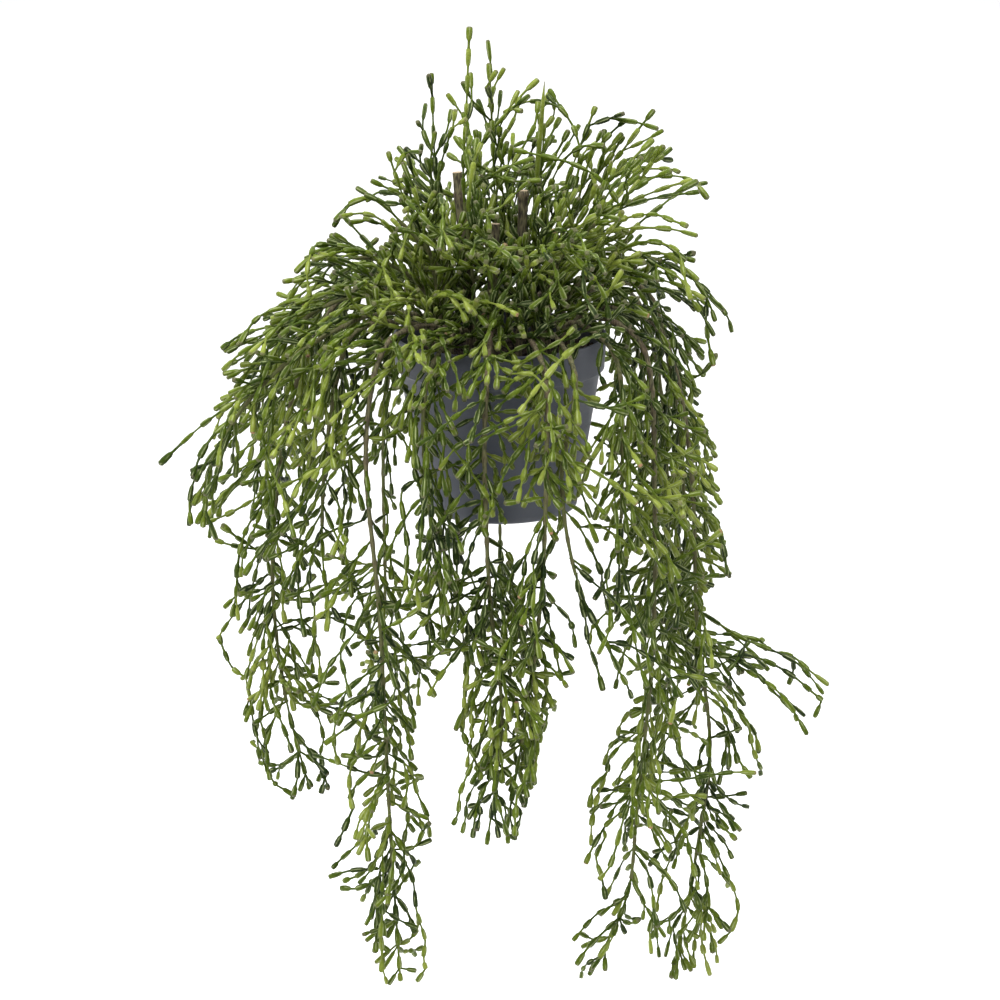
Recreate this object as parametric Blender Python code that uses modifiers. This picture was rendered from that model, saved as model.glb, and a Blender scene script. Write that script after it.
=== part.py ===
"""Mistletoe cactus in a plain hanging pot.

Metres, +Z up. The origin is the centre of the pot's underside and the front faces -Y.
Each main stem is one solid: a woody axis with its side twigs of bottle-shaped segments,
fused by one union. The soil has a plain hole for the foot of each stem.
"""

import math
import random

import bmesh
import bpy
import numpy as np

# Pot, turned about Z
POT_HEIGHT = 0.108
RIM_RADIUS = 0.065
BASE_RADIUS = 0.0475
COLLAR_HEIGHT = 0.021
LEDGE = 0.0024
WALL = 0.0016
FLOOR = 0.0022
LIP_ROUND = 0.0006
POT_SIDES = 32

# Soil, with a hole for each stem
SOIL_TOP = 0.0955
SOIL_MOUND = 0.0025
HOLE_DEPTH = 0.022
HOLE_RADIUS = 0.0033
STALK_HOLE_RADIUS = 0.0043
HOLE_SIDES = 5
HOLE_SPACING = 0.0084
HOLES_WITHIN = 0.0525
GAP = 0.0003

# Woody axes
WOOD_FOOT_RADIUS = 0.0022
WOOD_END_RADIUS = 0.0017
WOOD_STEP = 0.022
PATH_STEP = 0.006
STRAIGHT_ABOVE_SOIL = 0.004
AXIS_SPACING = 0.0062
STALK_RADIUS = 0.0031
STALK_STEP = 0.03
STALK_TOP_SHARE = 0.92

# Segments of the twigs: a thin neck that widens into a club with a blunt end
SEGMENT_SHORT = 0.0135
SEGMENT_LONG = 0.0195
NECK_RADIUS = 0.0008
CLUB_RADIUS = 0.0026
CLUB_FROM = 0.46
CLUB_TO = 0.93
TIP_RADIUS = 0.0014
ROOT_SINK = 0.0012
END_SINK = 0.003
CLEARANCE = 0.0006

# Twigs along an axis
WHORL_SPACING = {"crown": 0.038, "arch": 0.042, "tail": 0.052}
FIRST_WHORL_AT = 0.024
GOLDEN_ANGLE = math.radians(137.5)
TWIG_SEGMENTS = {"crown": 4, "arch": 3, "tail": 3}
END_TWIG_SEGMENTS = 2
END_TWIG_CHANCE = {"crown": 0.62, "arch": 0.48, "tail": 0.36}
FORK_CHANCE = 0.28
FORK_SPREAD = math.radians(24)
TRIES = 7
TWIG_LEAN = (42, 66)
BEND = 14
BEND_MORE = 9
PULL = 0.32
KEEP_OUT_RADIUS = RIM_RADIUS + 0.0045
KEEP_OUT_TOP = POT_HEIGHT + 0.0045
SEED = 7

# How often neighbours are pushed apart: feet on the soil, then axes in the air
FEET_ROUNDS = 400
AXIS_ROUNDS = 80
FEET_DRAWN_IN = 0.86
RIM_BAND = 0.008
RIM_DIP = 0.02

# The points of each stem's axis above its foot, chosen by hand, and the length at its end
# that is green segments instead of wood.
STEMS = {
    "crown_tall_left": ([(-0.017, 0.000, 0.147), (-0.022, 0.000, 0.196),
                         (-0.020, -0.005, 0.245), (-0.018, -0.005, 0.294)], 0.105),
    "crown_tall_middle": ([(-0.002, 0.022, 0.148), (-0.004, 0.028, 0.209),
                           (-0.007, 0.030, 0.276)], 0.100),
    "crown_left": ([(-0.033, 0.010, 0.151), (-0.039, 0.015, 0.205),
                    (-0.041, 0.015, 0.264)], 0.085),
    "crown_left_low": ([(-0.041, -0.022, 0.158), (-0.056, -0.045, 0.198),
                        (-0.065, -0.055, 0.228)], 0.060),
    "crown_right": ([(0.015, 0.005, 0.152), (0.024, 0.010, 0.200),
                     (0.027, 0.010, 0.240)], 0.070),
    "crown_right_high": ([(0.024, 0.018, 0.150), (0.042, 0.026, 0.200),
                          (0.058, 0.028, 0.242)], 0.075),
    "crown_right_back": ([(0.031, 0.022, 0.150), (0.062, 0.032, 0.192),
                          (0.103, 0.032, 0.220)], 0.070),
    "crown_right_low": ([(0.034, -0.013, 0.152), (0.072, -0.030, 0.190),
                         (0.122, -0.042, 0.203)], 0.075),
    "crown_front": ([(-0.004, -0.034, 0.150), (-0.011, -0.080, 0.183),
                     (-0.018, -0.120, 0.174)], 0.060),
    "crown_front_right": ([(0.014, -0.030, 0.148), (0.036, -0.082, 0.177),
                           (0.052, -0.118, 0.166)], 0.060),
    "crown_back": ([(0.006, 0.050, 0.150), (0.016, 0.095, 0.186),
                    (0.028, 0.135, 0.196)], 0.070),
    "crown_back_left": ([(-0.027, 0.046, 0.152), (-0.052, 0.095, 0.180),
                         (-0.068, 0.136, 0.178)], 0.070),
    "left_high": ([(-0.036, -0.004, 0.146), (-0.062, -0.012, 0.181),
                   (-0.083, -0.018, 0.196), (-0.103, -0.020, 0.172)], 0.060),
    "left_upper": ([(-0.045, -0.012, 0.136), (-0.077, -0.025, 0.159),
                    (-0.110, -0.035, 0.153), (-0.130, -0.040, 0.131)], 0.055),
    "left_middle": ([(-0.046, -0.028, 0.131), (-0.091, -0.055, 0.141),
                     (-0.132, -0.070, 0.118), (-0.158, -0.075, 0.088)], 0.055),
    "left_low": ([(-0.042, -0.040, 0.126), (-0.090, -0.080, 0.130), (-0.136, -0.095, 0.100),
                  (-0.165, -0.100, 0.058), (-0.174, -0.100, 0.014)], 0.055),
    "left_back": ([(-0.046, 0.034, 0.132), (-0.100, 0.078, 0.122), (-0.146, 0.105, 0.046),
                   (-0.165, 0.105, -0.050)], 0.060),
    "left_outer_tail": ([(-0.050, 0.004, 0.128), (-0.096, -0.006, 0.130),
                         (-0.127, -0.020, 0.068), (-0.140, -0.020, -0.031),
                         (-0.135, -0.020, -0.112), (-0.120, -0.020, -0.182)], 0.060),
    "left_fall": ([(-0.044, -0.044, 0.122), (-0.084, -0.078, 0.128), (-0.100, -0.088, 0.070),
                   (-0.105, -0.088, 0.005), (-0.102, -0.088, -0.042)], 0.055),
    "left_long_tail": ([(-0.034, -0.048, 0.122), (-0.066, -0.090, 0.121),
                        (-0.078, -0.100, 0.061), (-0.071, -0.100, -0.043),
                        (-0.067, -0.100, -0.157), (-0.061, -0.100, -0.276)], 0.070),
    "left_inner": ([(-0.021, -0.052, 0.122), (-0.040, -0.095, 0.108),
                    (-0.044, -0.105, 0.060), (-0.033, -0.105, -0.048)], 0.060),
    "front_tail": ([(-0.005, -0.053, 0.122), (-0.007, -0.096, 0.109), (-0.009, -0.105, 0.060),
                    (-0.006, -0.105, -0.029), (0.001, -0.105, -0.104),
                    (-0.009, -0.105, -0.192)], 0.060),
    "front_right_tail": ([(0.012, -0.052, 0.122), (0.026, -0.096, 0.106),
                          (0.027, -0.105, 0.060), (0.024, -0.105, -0.029),
                          (0.013, -0.105, -0.117), (0.003, -0.105, -0.178)], 0.060),
    "front_swing": ([(0.028, -0.046, 0.120), (0.044, -0.085, 0.100), (0.036, -0.096, 0.041),
                     (0.047, -0.100, -0.024), (0.074, -0.100, -0.080)], 0.075),
    "right_inner": ([(0.042, -0.034, 0.122), (0.068, -0.068, 0.108), (0.072, -0.080, 0.049),
                     (0.070, -0.080, -0.046)], 0.060),
    "right_long_tail": ([(0.049, -0.018, 0.122), (0.086, -0.042, 0.107),
                         (0.093, -0.050, 0.016), (0.093, -0.050, -0.079),
                         (0.085, -0.050, -0.185), (0.079, -0.050, -0.243),
                         (0.056, -0.050, -0.296)], 0.070),
    "right_outer_tail": ([(0.051, 0.008, 0.122), (0.098, 0.010, 0.107), (0.118, 0.010, 0.025),
                          (0.124, 0.010, -0.080), (0.134, 0.010, -0.165),
                          (0.127, 0.010, -0.235), (0.113, 0.010, -0.327)], 0.086),
    "right_outer": ([(0.048, 0.022, 0.126), (0.090, 0.036, 0.127), (0.108, 0.045, 0.067),
                     (0.117, 0.045, -0.011), (0.117, 0.045, -0.074)], 0.060),
    "right_upper": ([(0.044, -0.004, 0.136), (0.084, -0.012, 0.157),
                     (0.117, -0.018, 0.144), (0.131, -0.020, 0.116)], 0.055),
    "right_back": ([(0.042, 0.036, 0.122), (0.086, 0.082, 0.112), (0.107, 0.105, 0.026),
                    (0.111, 0.105, -0.100)], 0.060),
    "back_left_tail": ([(-0.030, 0.050, 0.122), (-0.060, 0.104, 0.114),
                        (-0.076, 0.125, 0.021), (-0.077, 0.125, -0.100),
                        (-0.082, 0.125, -0.180)], 0.065),
    "back_middle_tail": ([(-0.004, 0.056, 0.122), (0.000, 0.112, 0.117),
                          (0.000, 0.132, 0.032), (0.000, 0.132, -0.060),
                          (0.003, 0.132, -0.130)], 0.060),
    "back_right_tail": ([(0.026, 0.050, 0.122), (0.074, 0.106, 0.111), (0.102, 0.125, 0.007),
                         (0.114, 0.125, -0.120), (0.110, 0.125, -0.232)], 0.065),
}

# The plant's outline as it is seen from VIEW_PLACE, in front of it: x and z in the plane
# through the pot's middle. No twig grows beyond it.
OUTLINE = np.array([
    (-0.020, 0.298), (-0.023, 0.272), (-0.030, 0.255), (-0.035, 0.257), (-0.036, 0.271),
    (-0.043, 0.272), (-0.045, 0.243), (-0.067, 0.225), (-0.065, 0.204), (-0.080, 0.204),
    (-0.090, 0.199), (-0.093, 0.186), (-0.109, 0.164), (-0.137, 0.136), (-0.140, 0.123),
    (-0.172, 0.096), (-0.172, 0.068), (-0.207, 0.029), (-0.192, 0.010), (-0.196, -0.014),
    (-0.163, -0.038), (-0.178, -0.083), (-0.169, -0.123), (-0.150, -0.182), (-0.128, -0.201),
    (-0.108, -0.190), (-0.098, -0.160), (-0.096, -0.201), (-0.116, -0.244), (-0.095, -0.270),
    (-0.079, -0.328), (-0.053, -0.327), (-0.044, -0.305), (-0.055, -0.247), (-0.043, -0.226),
    (-0.051, -0.170), (-0.052, -0.144), (-0.034, -0.130), (-0.028, -0.079), (-0.025, -0.123),
    (-0.034, -0.142), (-0.019, -0.190), (-0.032, -0.221), (-0.014, -0.240), (0.010, -0.226),
    (0.023, -0.184), (0.024, -0.160), (0.047, -0.111), (0.049, -0.063), (0.063, -0.126),
    (0.081, -0.123), (0.083, -0.130), (0.057, -0.190), (0.051, -0.252), (0.068, -0.270),
    (0.044, -0.297), (0.052, -0.321), (0.068, -0.325), (0.074, -0.293), (0.094, -0.284),
    (0.097, -0.310), (0.112, -0.325), (0.139, -0.316), (0.154, -0.275), (0.150, -0.240),
    (0.167, -0.175), (0.159, -0.138), (0.172, -0.124), (0.198, -0.148), (0.209, -0.123),
    (0.158, -0.084), (0.141, -0.034), (0.134, 0.031), (0.121, 0.066), (0.145, 0.115),
    (0.115, 0.146), (0.134, 0.181), (0.127, 0.202), (0.109, 0.203), (0.103, 0.221), (0.094, 0.246),
    (0.043, 0.237), (0.024, 0.264), (0.013, 0.255), (-0.007, 0.289)])
VIEW_PLACE = np.array([0.0, -1.75, 0.506])

# The side axes that swing out of a stem: the height where each leaves, and its points
SIDE_AXES = {
    "right_outer_tail": [(-0.080, [(0.152, -0.004, -0.087), (0.184, -0.010, -0.100),
                                   (0.205, -0.012, -0.124)]),
                         (-0.092, [(0.148, -0.012, -0.102), (0.174, -0.024, -0.116),
                                   (0.193, -0.026, -0.145)])],
    "left_low": [(0.098, [(-0.171, -0.094, 0.076), (-0.199, -0.092, 0.050)])],
}

# Cut stalks: foot on the soil and top
STALKS = {
    "cut_stalk_left": ((-0.018, 0.014), (-0.026, 0.015, 0.204)),
    "cut_stalk_middle": ((-0.006, -0.006), (-0.003, -0.004, 0.176)),
    "cut_stalk_right": ((0.012, 0.018), (0.014, 0.020, 0.192)),
}
STALK_SIDES = 7

# The long pointed young shoot in the crown: the stem that bears it, height of its foot, tip
YOUNG_SHOOT = ("crown_right", 0.180, (0.0245, 0.000, 0.249))
YOUNG_SHOOT_PROFILE = [(0.0, 0.0008), (0.22, 0.0030), (0.62, 0.0024), (1.0, 0.0007)]

POT_GREY = (0.056, 0.062, 0.082)
SOIL_BROWN = (0.018, 0.013, 0.010)
BARK_BROWN = (0.120, 0.092, 0.066)
SEGMENT_GREEN = (0.120, 0.175, 0.032)


def clear_scene():
    for obj in list(bpy.data.objects):
        bpy.data.objects.remove(obj)


def new_collection(name):
    collection = bpy.data.collections.new(name)
    bpy.context.scene.collection.children.link(collection)
    return collection


def make_material(name, colour, roughness):
    material = bpy.data.materials.new(name)
    material.use_nodes = True
    shader = material.node_tree.nodes["Principled BSDF"]
    shader.inputs["Base Color"].default_value = (*colour, 1.0)
    shader.inputs["Roughness"].default_value = roughness
    shader.inputs["Metallic"].default_value = 0.0
    return material


def unit(vector):
    return vector / np.linalg.norm(vector)


def smooth_path(points, first_direction):
    """Evenly spaced points on a Catmull-Rom curve that leaves its first point upwards."""
    points = [np.array(point, float) for point in points]
    reach = np.linalg.norm(points[1] - points[0])
    before = points[0] - first_direction * reach * 0.8
    after = points[-1] + (points[-1] - points[-2]) * 0.5
    knots = [before, *points, after]
    dense = []
    for a, b, c, d in zip(knots, knots[1:], knots[2:], knots[3:]):
        for t in np.linspace(0.0, 1.0, 24, endpoint=False):
            dense.append(0.5 * (2 * b + (c - a) * t + (2 * a - 5 * b + 4 * c - d) * t**2
                                + (3 * b - a - 3 * c + d) * t**3))
    dense = np.array([*dense, points[-1]])
    return resample(dense, PATH_STEP)


def resample(points, step):
    lengths = np.concatenate([[0.0], np.cumsum(np.linalg.norm(np.diff(points, axis=0), axis=1))])
    count = max(2, round(lengths[-1] / step) + 1)
    at = np.linspace(0.0, lengths[-1], count)
    return np.column_stack([np.interp(at, lengths, points[:, axis]) for axis in range(3)])


def distances(start, end, starts, ends):
    """Shortest distance from one straight piece to each of many."""
    along, alongs, between = end - start, ends - starts, start - starts
    a = along @ along
    e = np.einsum("ij,ij->i", alongs, alongs)
    f = np.einsum("ij,ij->i", alongs, between)
    b, c = alongs @ along, between @ along
    spread = a * e - b * b
    s = np.clip(np.where(spread > 1e-18, (b * f - c * e) / np.maximum(spread, 1e-18), 0.0), 0, 1)
    t = np.clip((b * s + f) / e, 0.0, 1.0)
    s = np.clip((b * t - c) / a, 0.0, 1.0)
    return np.linalg.norm(between + s[:, None] * along - t[:, None] * alongs, axis=1)


def spread_feet(feet, spacing, within):
    """Pushes feet apart on the soil until none is closer to another than the spacing."""
    feet = np.array(feet, float)
    for _ in range(FEET_ROUNDS):
        apart = feet[:, None] - feet[None]
        gaps = np.linalg.norm(apart, axis=2) + np.eye(len(feet))
        push = np.clip(spacing - gaps, 0.0, None)
        feet += 0.25 * np.einsum("ij,ijk->ik", push / gaps, apart)
        radii = np.linalg.norm(feet, axis=1)
        feet *= np.minimum(1.0, within / np.maximum(radii, 1e-9))[:, None]
    return feet


def spread_axes(paths):
    """Bends the axes of neighbouring stems clear of each other and of the pot's rim."""
    owner = np.concatenate([np.full(len(path), n) for n, path in enumerate(paths)])
    fixed = np.concatenate([np.arange(len(path)) == 0 for path in paths])
    spots = np.concatenate(paths)
    for _ in range(AXIS_ROUNDS):
        squares = (spots**2).sum(axis=1)
        near = squares[:, None] + squares[None] - 2 * spots @ spots.T < AXIS_SPACING**2
        ones, others = np.nonzero(near & (owner[:, None] != owner[None]))
        apart = spots[ones] - spots[others]
        gaps = np.linalg.norm(apart, axis=1)[:, None] + 1e-9
        move = np.zeros_like(spots)
        np.add.at(move, ones, 0.3 * (AXIS_SPACING - gaps) / gaps * apart)
        over_rim = np.abs(np.hypot(spots[:, 0], spots[:, 1]) - RIM_RADIUS) < RIM_BAND
        too_low = np.clip(KEEP_OUT_TOP + WOOD_FOOT_RADIUS - spots[:, 2], 0, None)
        move[:, 2] += np.where(over_rim & (too_low < RIM_DIP), 0.3 * too_low, 0.0)
        spots += np.where(fixed[:, None], 0.0, move)
    return [spots[owner == n] for n in range(len(paths))]


class Space:
    """The straight pieces placed so far, each with its stem and radius."""

    def __init__(self):
        self.starts, self.ends = np.zeros((0, 3)), np.zeros((0, 3))
        self.radii, self.owners = np.zeros(0), np.zeros(0, int)

    def add(self, start, end, radius, owner):
        self.starts = np.vstack([self.starts, start])
        self.ends = np.vstack([self.ends, end])
        self.radii = np.append(self.radii, radius)
        self.owners = np.append(self.owners, owner)

    def blocked(self, start, end, owner):
        """Whether a segment would meet another stem, the pot, or its own twig's club."""
        along = start + (end - start) * np.linspace(0.0, 1.0, 5)[:, None]
        low = (along[:, 2] < KEEP_OUT_TOP) & (along[:, 2] > -0.006)
        if np.any(low & (np.hypot(along[:, 0], along[:, 1]) < KEEP_OUT_RADIUS)):
            return True
        if beyond_outline(end):
            return True
        near = np.linalg.norm((self.starts + self.ends) / 2 - (start + end) / 2, axis=1) < 0.04
        others = near & (self.owners != owner)
        if others.any():
            clear = distances(start, end, self.starts[others], self.ends[others])
            if np.any(clear < self.radii[others] + CLUB_RADIUS + CLEARANCE):
                return True
        own = near & (self.owners == owner)
        if own.any():
            clear = distances(start + (end - start) * 0.5, end, self.starts[own], self.ends[own])
            return bool(np.any(clear < 0.72 * (self.radii[own] + CLUB_RADIUS)))
        return False


def beyond_outline(spot):
    """Whether a place lies outside the plant's outline, as it is seen from VIEW_PLACE."""
    sight = VIEW_PLACE + (spot - VIEW_PLACE) * VIEW_PLACE[1] / (VIEW_PLACE[1] - spot[1])
    ones, others = OUTLINE, np.roll(OUTLINE, -1, axis=0)
    crossed = (ones[:, 1] > sight[2]) != (others[:, 1] > sight[2])
    ones, others = ones[crossed], others[crossed]
    share = (sight[2] - ones[:, 1]) / (others[:, 1] - ones[:, 1])
    right = sight[0] < ones[:, 0] + share * (others[:, 0] - ones[:, 0])
    return np.count_nonzero(right) % 2 == 0


def turned(direction, draw, angle):
    """The direction leaned by an angle towards a random side."""
    side = unit(np.cross(direction, np.array([draw.gauss(0, 1) for _ in range(3)])))
    return unit(direction * math.cos(angle) + side * math.sin(angle))


def growing_towards(tangent, place):
    """Where the twigs of an axis turn: up in the crown, down along a tail, a little outwards."""
    outward = unit(np.array([place[0], place[1], 1e-6]))
    lift = 0.55 * tangent[2] if tangent[2] > 0 else 1.1 * tangent[2]
    lift -= 0.55 * (1.0 - abs(tangent[2]))
    return unit(0.75 * tangent + 0.25 * outward + np.array([0.0, 0.0, lift]))


def grow_twig(draw, space, owner, foot, direction, goal, count):
    """Chains of joints, from one foot, that hold up to the given number of segments."""
    chains = []
    buds = [(foot, direction, None)]
    while buds and count > 0:
        joint, heading, chain = buds.pop(0)
        length = draw.uniform(SEGMENT_SHORT, SEGMENT_LONG)
        for attempt in range(TRIES):
            lean = math.radians(BEND + BEND_MORE * attempt)
            bent = unit(turned(heading, draw, lean * draw.random()) + PULL * goal)
            end = joint + bent * length
            if not space.blocked(joint, end, owner):
                break
        else:
            continue
        if chain is None:
            chain = [joint - bent * (ROOT_SINK if chains else 0.0)]
            chains.append(chain)
        chain.append(end)
        space.add(joint, end, CLUB_RADIUS, owner)
        count -= 1
        if draw.random() < FORK_CHANCE:
            side = turned(bent, draw, FORK_SPREAD)
            buds.append((end, unit(2 * math.cos(FORK_SPREAD) * bent - side), chain))
            buds.append((end, side, None))
        else:
            buds.append((end, bent, chain))
    return chains


def lay_end_chain(draw, space, owner, path):
    """The green end of an axis: joints at segment length along its path."""
    lengths = np.concatenate([[0.0], np.cumsum(np.linalg.norm(np.diff(path, axis=0), axis=1))])
    at, joints = 0.0, []
    while at < lengths[-1] + 0.4 * SEGMENT_SHORT:
        here = min(at, lengths[-1])
        joints.append(np.array([np.interp(here, lengths, path[:, axis]) for axis in range(3)]))
        at += draw.uniform(SEGMENT_SHORT, SEGMENT_LONG)
    for start, end in zip(joints, joints[1:]):
        space.add(start, end, CLUB_RADIUS, owner)
    joints[0] = joints[0] - unit(joints[1] - joints[0]) * END_SINK
    return joints


def plan_plant():
    """Works out every axis and twig. Returns {stem: [foot, wood path, chains]}."""
    draw = random.Random(SEED)
    names = list(STEMS)
    feet = [np.array(points[0][:2]) * FEET_DRAWN_IN for points, _ in STEMS.values()]
    feet += [np.array(foot) for foot, _ in STALKS.values()]
    feet = spread_feet(feet, HOLE_SPACING, HOLES_WITHIN)
    above = SOIL_TOP + STRAIGHT_ABOVE_SOIL
    up = np.array([0.0, 0.0, 1.0])
    paths = [smooth_path([(*foot, above), *STEMS[name][0]], up) for name, foot in zip(names, feet)]
    for foot, (_, top) in zip(feet[len(names):], STALKS.values()):
        paths.append(smooth_path([(*foot, above), top], up))
    paths = spread_axes(paths)
    space = Space()
    plant = {}
    for owner, name in enumerate(names):
        path = paths[owner]
        green = round(STEMS[name][1] / PATH_STEP)
        wood = resample(path[: len(path) - green], WOOD_STEP)
        end = path[len(path) - green - 1:]
        for start, stop in zip(wood, wood[1:]):
            space.add(start, stop, WOOD_FOOT_RADIUS, owner)
        ends = [end]
        for height, points in SIDE_AXES.get(name, []):
            at = int(np.argmin(np.abs(wood[len(wood) // 2:, 2] - height))) + len(wood) // 2
            side = unit(np.array(points[0]) - wood[at])
            ends.append(smooth_path([wood[at], *points], side))
        chains = [(lay_end_chain(draw, space, owner, one), False) for one in ends]
        plant[name] = [feet[owner], wood, chains]
    for owner, name in enumerate(STALKS, start=len(names)):
        for start, stop in zip(paths[owner], paths[owner][1:]):
            space.add(start, stop, STALK_RADIUS, owner)
        plant[name] = [feet[owner], paths[owner], []]
    bearer, height, tip = YOUNG_SHOOT
    axis = paths[names.index(bearer)]
    foot = axis[int(np.argmin(np.abs(axis[:, 2] - height)))]
    space.add(foot, np.array(tip), CLUB_RADIUS, names.index(bearer))
    plant[bearer][2].append(([foot, np.array(tip)], True))
    add_twigs(draw, space, plant, names)
    return plant


def habit_of(name):
    """How a stem grows: upright in the crown, hanging as a tail, or arching over."""
    if name.startswith("crown"):
        return "crown"
    return "tail" if name.endswith("tail") else "arch"


def add_twigs(draw, space, plant, names):
    """Twigs at whorls along each axis and at the joints of its green end, stem by stem."""
    spots = []
    for owner, name in enumerate(names):
        _, wood, chains = plant[name]
        lengths = np.concatenate(
            [[0.0], np.cumsum(np.linalg.norm(np.diff(wood, axis=0), axis=1))])
        habit = habit_of(name)
        at, turn = WHORL_SPACING[habit] * 0.5, draw.uniform(0, math.tau)
        while at < lengths[-1]:
            n = int(np.searchsorted(lengths, at))
            foot = np.array([np.interp(at, lengths, wood[:, axis]) for axis in range(3)])
            if at > FIRST_WHORL_AT:
                spots.append((at, owner, foot, unit(wood[n] - wood[n - 1]), turn,
                              TWIG_SEGMENTS[habit]))
            turn += GOLDEN_ANGLE
            at += WHORL_SPACING[habit]
        for chain, pointed in list(chains):
            for before, joint in list(zip(chain, chain[1:]))[:-1]:
                along = unit(joint - before)
                if not pointed and draw.random() < END_TWIG_CHANCE[habit]:
                    spots.append((lengths[-1] + 0.1, owner, joint - along * ROOT_SINK, along,
                                  turn, END_TWIG_SEGMENTS))
                turn += GOLDEN_ANGLE
    for _, owner, foot, tangent, turn, count in sorted(spots, key=lambda spot: spot[0]):
        goal = growing_towards(tangent, foot)
        across = unit(np.cross(tangent, np.array([0.3, 0.2, 0.9])))
        other = np.cross(tangent, across)
        lean = math.radians(draw.uniform(*TWIG_LEAN))
        around = across * math.cos(turn) + other * math.sin(turn)
        direction = unit(tangent * math.cos(lean) + around * math.sin(lean))
        chains = grow_twig(draw, space, owner, foot, direction, goal, count)
        plant[names[owner]][2].extend((chain, False) for chain in chains)


def make_section(name, sides, collection):
    """A closed flat polygon of radius 1 that tubes take as their section."""
    curve = bpy.data.curves.new(name, "CURVE")
    spline = curve.splines.new("POLY")
    spline.points.add(sides - 1)
    for n, point in enumerate(spline.points):
        angle = math.tau * n / sides
        point.co = (math.cos(angle), math.sin(angle), 0.0, 1.0)
    spline.use_cyclic_u = True
    section = bpy.data.objects.new(name, curve)
    section.hide_render = True
    section.display_type = "WIRE"
    collection.objects.link(section)
    return section


def lay_tube(name, points, radii, section, collection):
    """A curve object swept along straight pieces, with its own radius at each point."""
    curve = bpy.data.curves.new(name, "CURVE")
    curve.dimensions = "3D"
    curve.bevel_mode = "OBJECT"
    curve.bevel_object = section
    curve.use_fill_caps = True
    spline = curve.splines.new("POLY")
    spline.points.add(len(points) - 1)
    for point, place, radius in zip(spline.points, points, radii):
        point.co = (*(float(value) for value in place), 1.0)
        point.radius = radius
    tube = bpy.data.objects.new(name, curve)
    collection.objects.link(tube)
    return tube


def make_solid(tubes, collection):
    """Turns curve objects into closed meshes, with their caps welded on."""
    graph = bpy.context.evaluated_depsgraph_get()
    meshes = [bpy.data.meshes.new_from_object(tube.evaluated_get(graph)) for tube in tubes]
    solids = []
    for tube, mesh in zip(tubes, meshes):
        name, place = tube.name, tube.matrix_world.copy()
        bpy.data.objects.remove(tube)
        shape = bmesh.new()
        shape.from_mesh(mesh)
        bmesh.ops.remove_doubles(shape, verts=shape.verts, dist=1e-6)
        bmesh.ops.recalc_face_normals(shape, faces=shape.faces)
        shape.to_mesh(mesh)
        shape.free()
        solid = bpy.data.objects.new(name, mesh)
        solid.matrix_world = place
        collection.objects.link(solid)
        solids.append(solid)
    return solids


def make_chain(name, joints, pointed, girth, section, collection):
    """Bottle-shaped segments in a row: neck, widening club, blunt end, then the next neck."""
    points, radii = [], []
    if pointed:
        for share, radius in YOUNG_SHOOT_PROFILE:
            points.append(joints[0] + (joints[1] - joints[0]) * share)
            radii.append(radius)
        return lay_tube(name, points, radii, section, collection)
    for start, end in zip(joints, joints[1:]):
        along = end - start
        points += [start, start + along * CLUB_FROM, start + along * CLUB_TO]
        radii += [NECK_RADIUS, CLUB_RADIUS * 0.86 * girth, CLUB_RADIUS * girth]
    points.append(joints[-1])
    radii.append(TIP_RADIUS)
    return lay_tube(name, points, radii, section, collection)


def make_axis(name, foot, path, section, collection):
    """A woody axis: straight up out of its hole, then along its path, a little thinner."""
    bottom = np.array([*foot, SOIL_TOP - HOLE_DEPTH + GAP])
    points = np.vstack([bottom, path])
    radii = np.linspace(WOOD_FOOT_RADIUS, WOOD_END_RADIUS, len(points))
    return lay_tube(name, points, radii, section, collection)


def make_stalk(name, foot, path, section, collection):
    """A thick stalk, cut off flat at its top."""
    bottom = np.array([*foot, SOIL_TOP - HOLE_DEPTH + GAP])
    points = np.vstack([bottom, resample(path, STALK_STEP)])
    radii = [STALK_RADIUS] * (len(points) - 1) + [STALK_RADIUS * STALK_TOP_SHARE]
    return lay_tube(name, points, radii, section, collection)


def unite(base, others):
    """One union of the base with a collection, applied; the parts are then removed."""
    union = base.modifiers.new("Union", "BOOLEAN")
    union.operation = "UNION"
    union.operand_type = "COLLECTION"
    union.collection = others
    union.solver = "EXACT"
    graph = bpy.context.evaluated_depsgraph_get()
    mesh = bpy.data.meshes.new_from_object(base.evaluated_get(graph))
    base.modifiers.remove(union)
    base.data = mesh
    for part in list(others.objects):
        bpy.data.objects.remove(part)


def make_stem(name, plan, sections, repeats, collection, material):
    foot, wood, chains = plan
    axis = make_axis(name, foot, wood, sections["axis"], collection)
    draw = random.Random(name)
    twigs = []
    for n, (joints, pointed) in enumerate(chains):
        girth = draw.uniform(0.9, 1.0)
        twigs.append(make_chain(f"{name}_{n}", joints, pointed, girth, sections["twig"], repeats))
    stem = make_solid([axis], collection)[0]
    make_solid(twigs, repeats)
    unite(stem, repeats)
    stem.data.materials.clear()
    stem.data.materials.append(material)
    return stem


def turn_profile(name, profile, collection, material):
    """A solid of revolution: the profile at +X, swept by a Screw modifier."""
    mesh = bpy.data.meshes.new(name)
    edges = [(n, n + 1) for n in range(len(profile) - 1)]
    mesh.from_pydata([(x, 0.0, z) for x, z in profile], edges, [])
    turned_object = bpy.data.objects.new(name, mesh)
    screw = turned_object.modifiers.new("Turn", "SCREW")
    screw.axis = "Z"
    screw.steps = POT_SIDES
    screw.render_steps = POT_SIDES
    screw.use_merge_vertices = True
    screw.merge_threshold = 1e-5
    collection.objects.link(turned_object)
    turned_object.data.materials.append(material)
    return turned_object


def body_radius(height):
    """Outer radius of the tapered body under the collar."""
    share = height / (POT_HEIGHT - COLLAR_HEIGHT)
    top = RIM_RADIUS - 0.0012 - LEDGE
    return BASE_RADIUS + (top - BASE_RADIUS) * share


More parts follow.
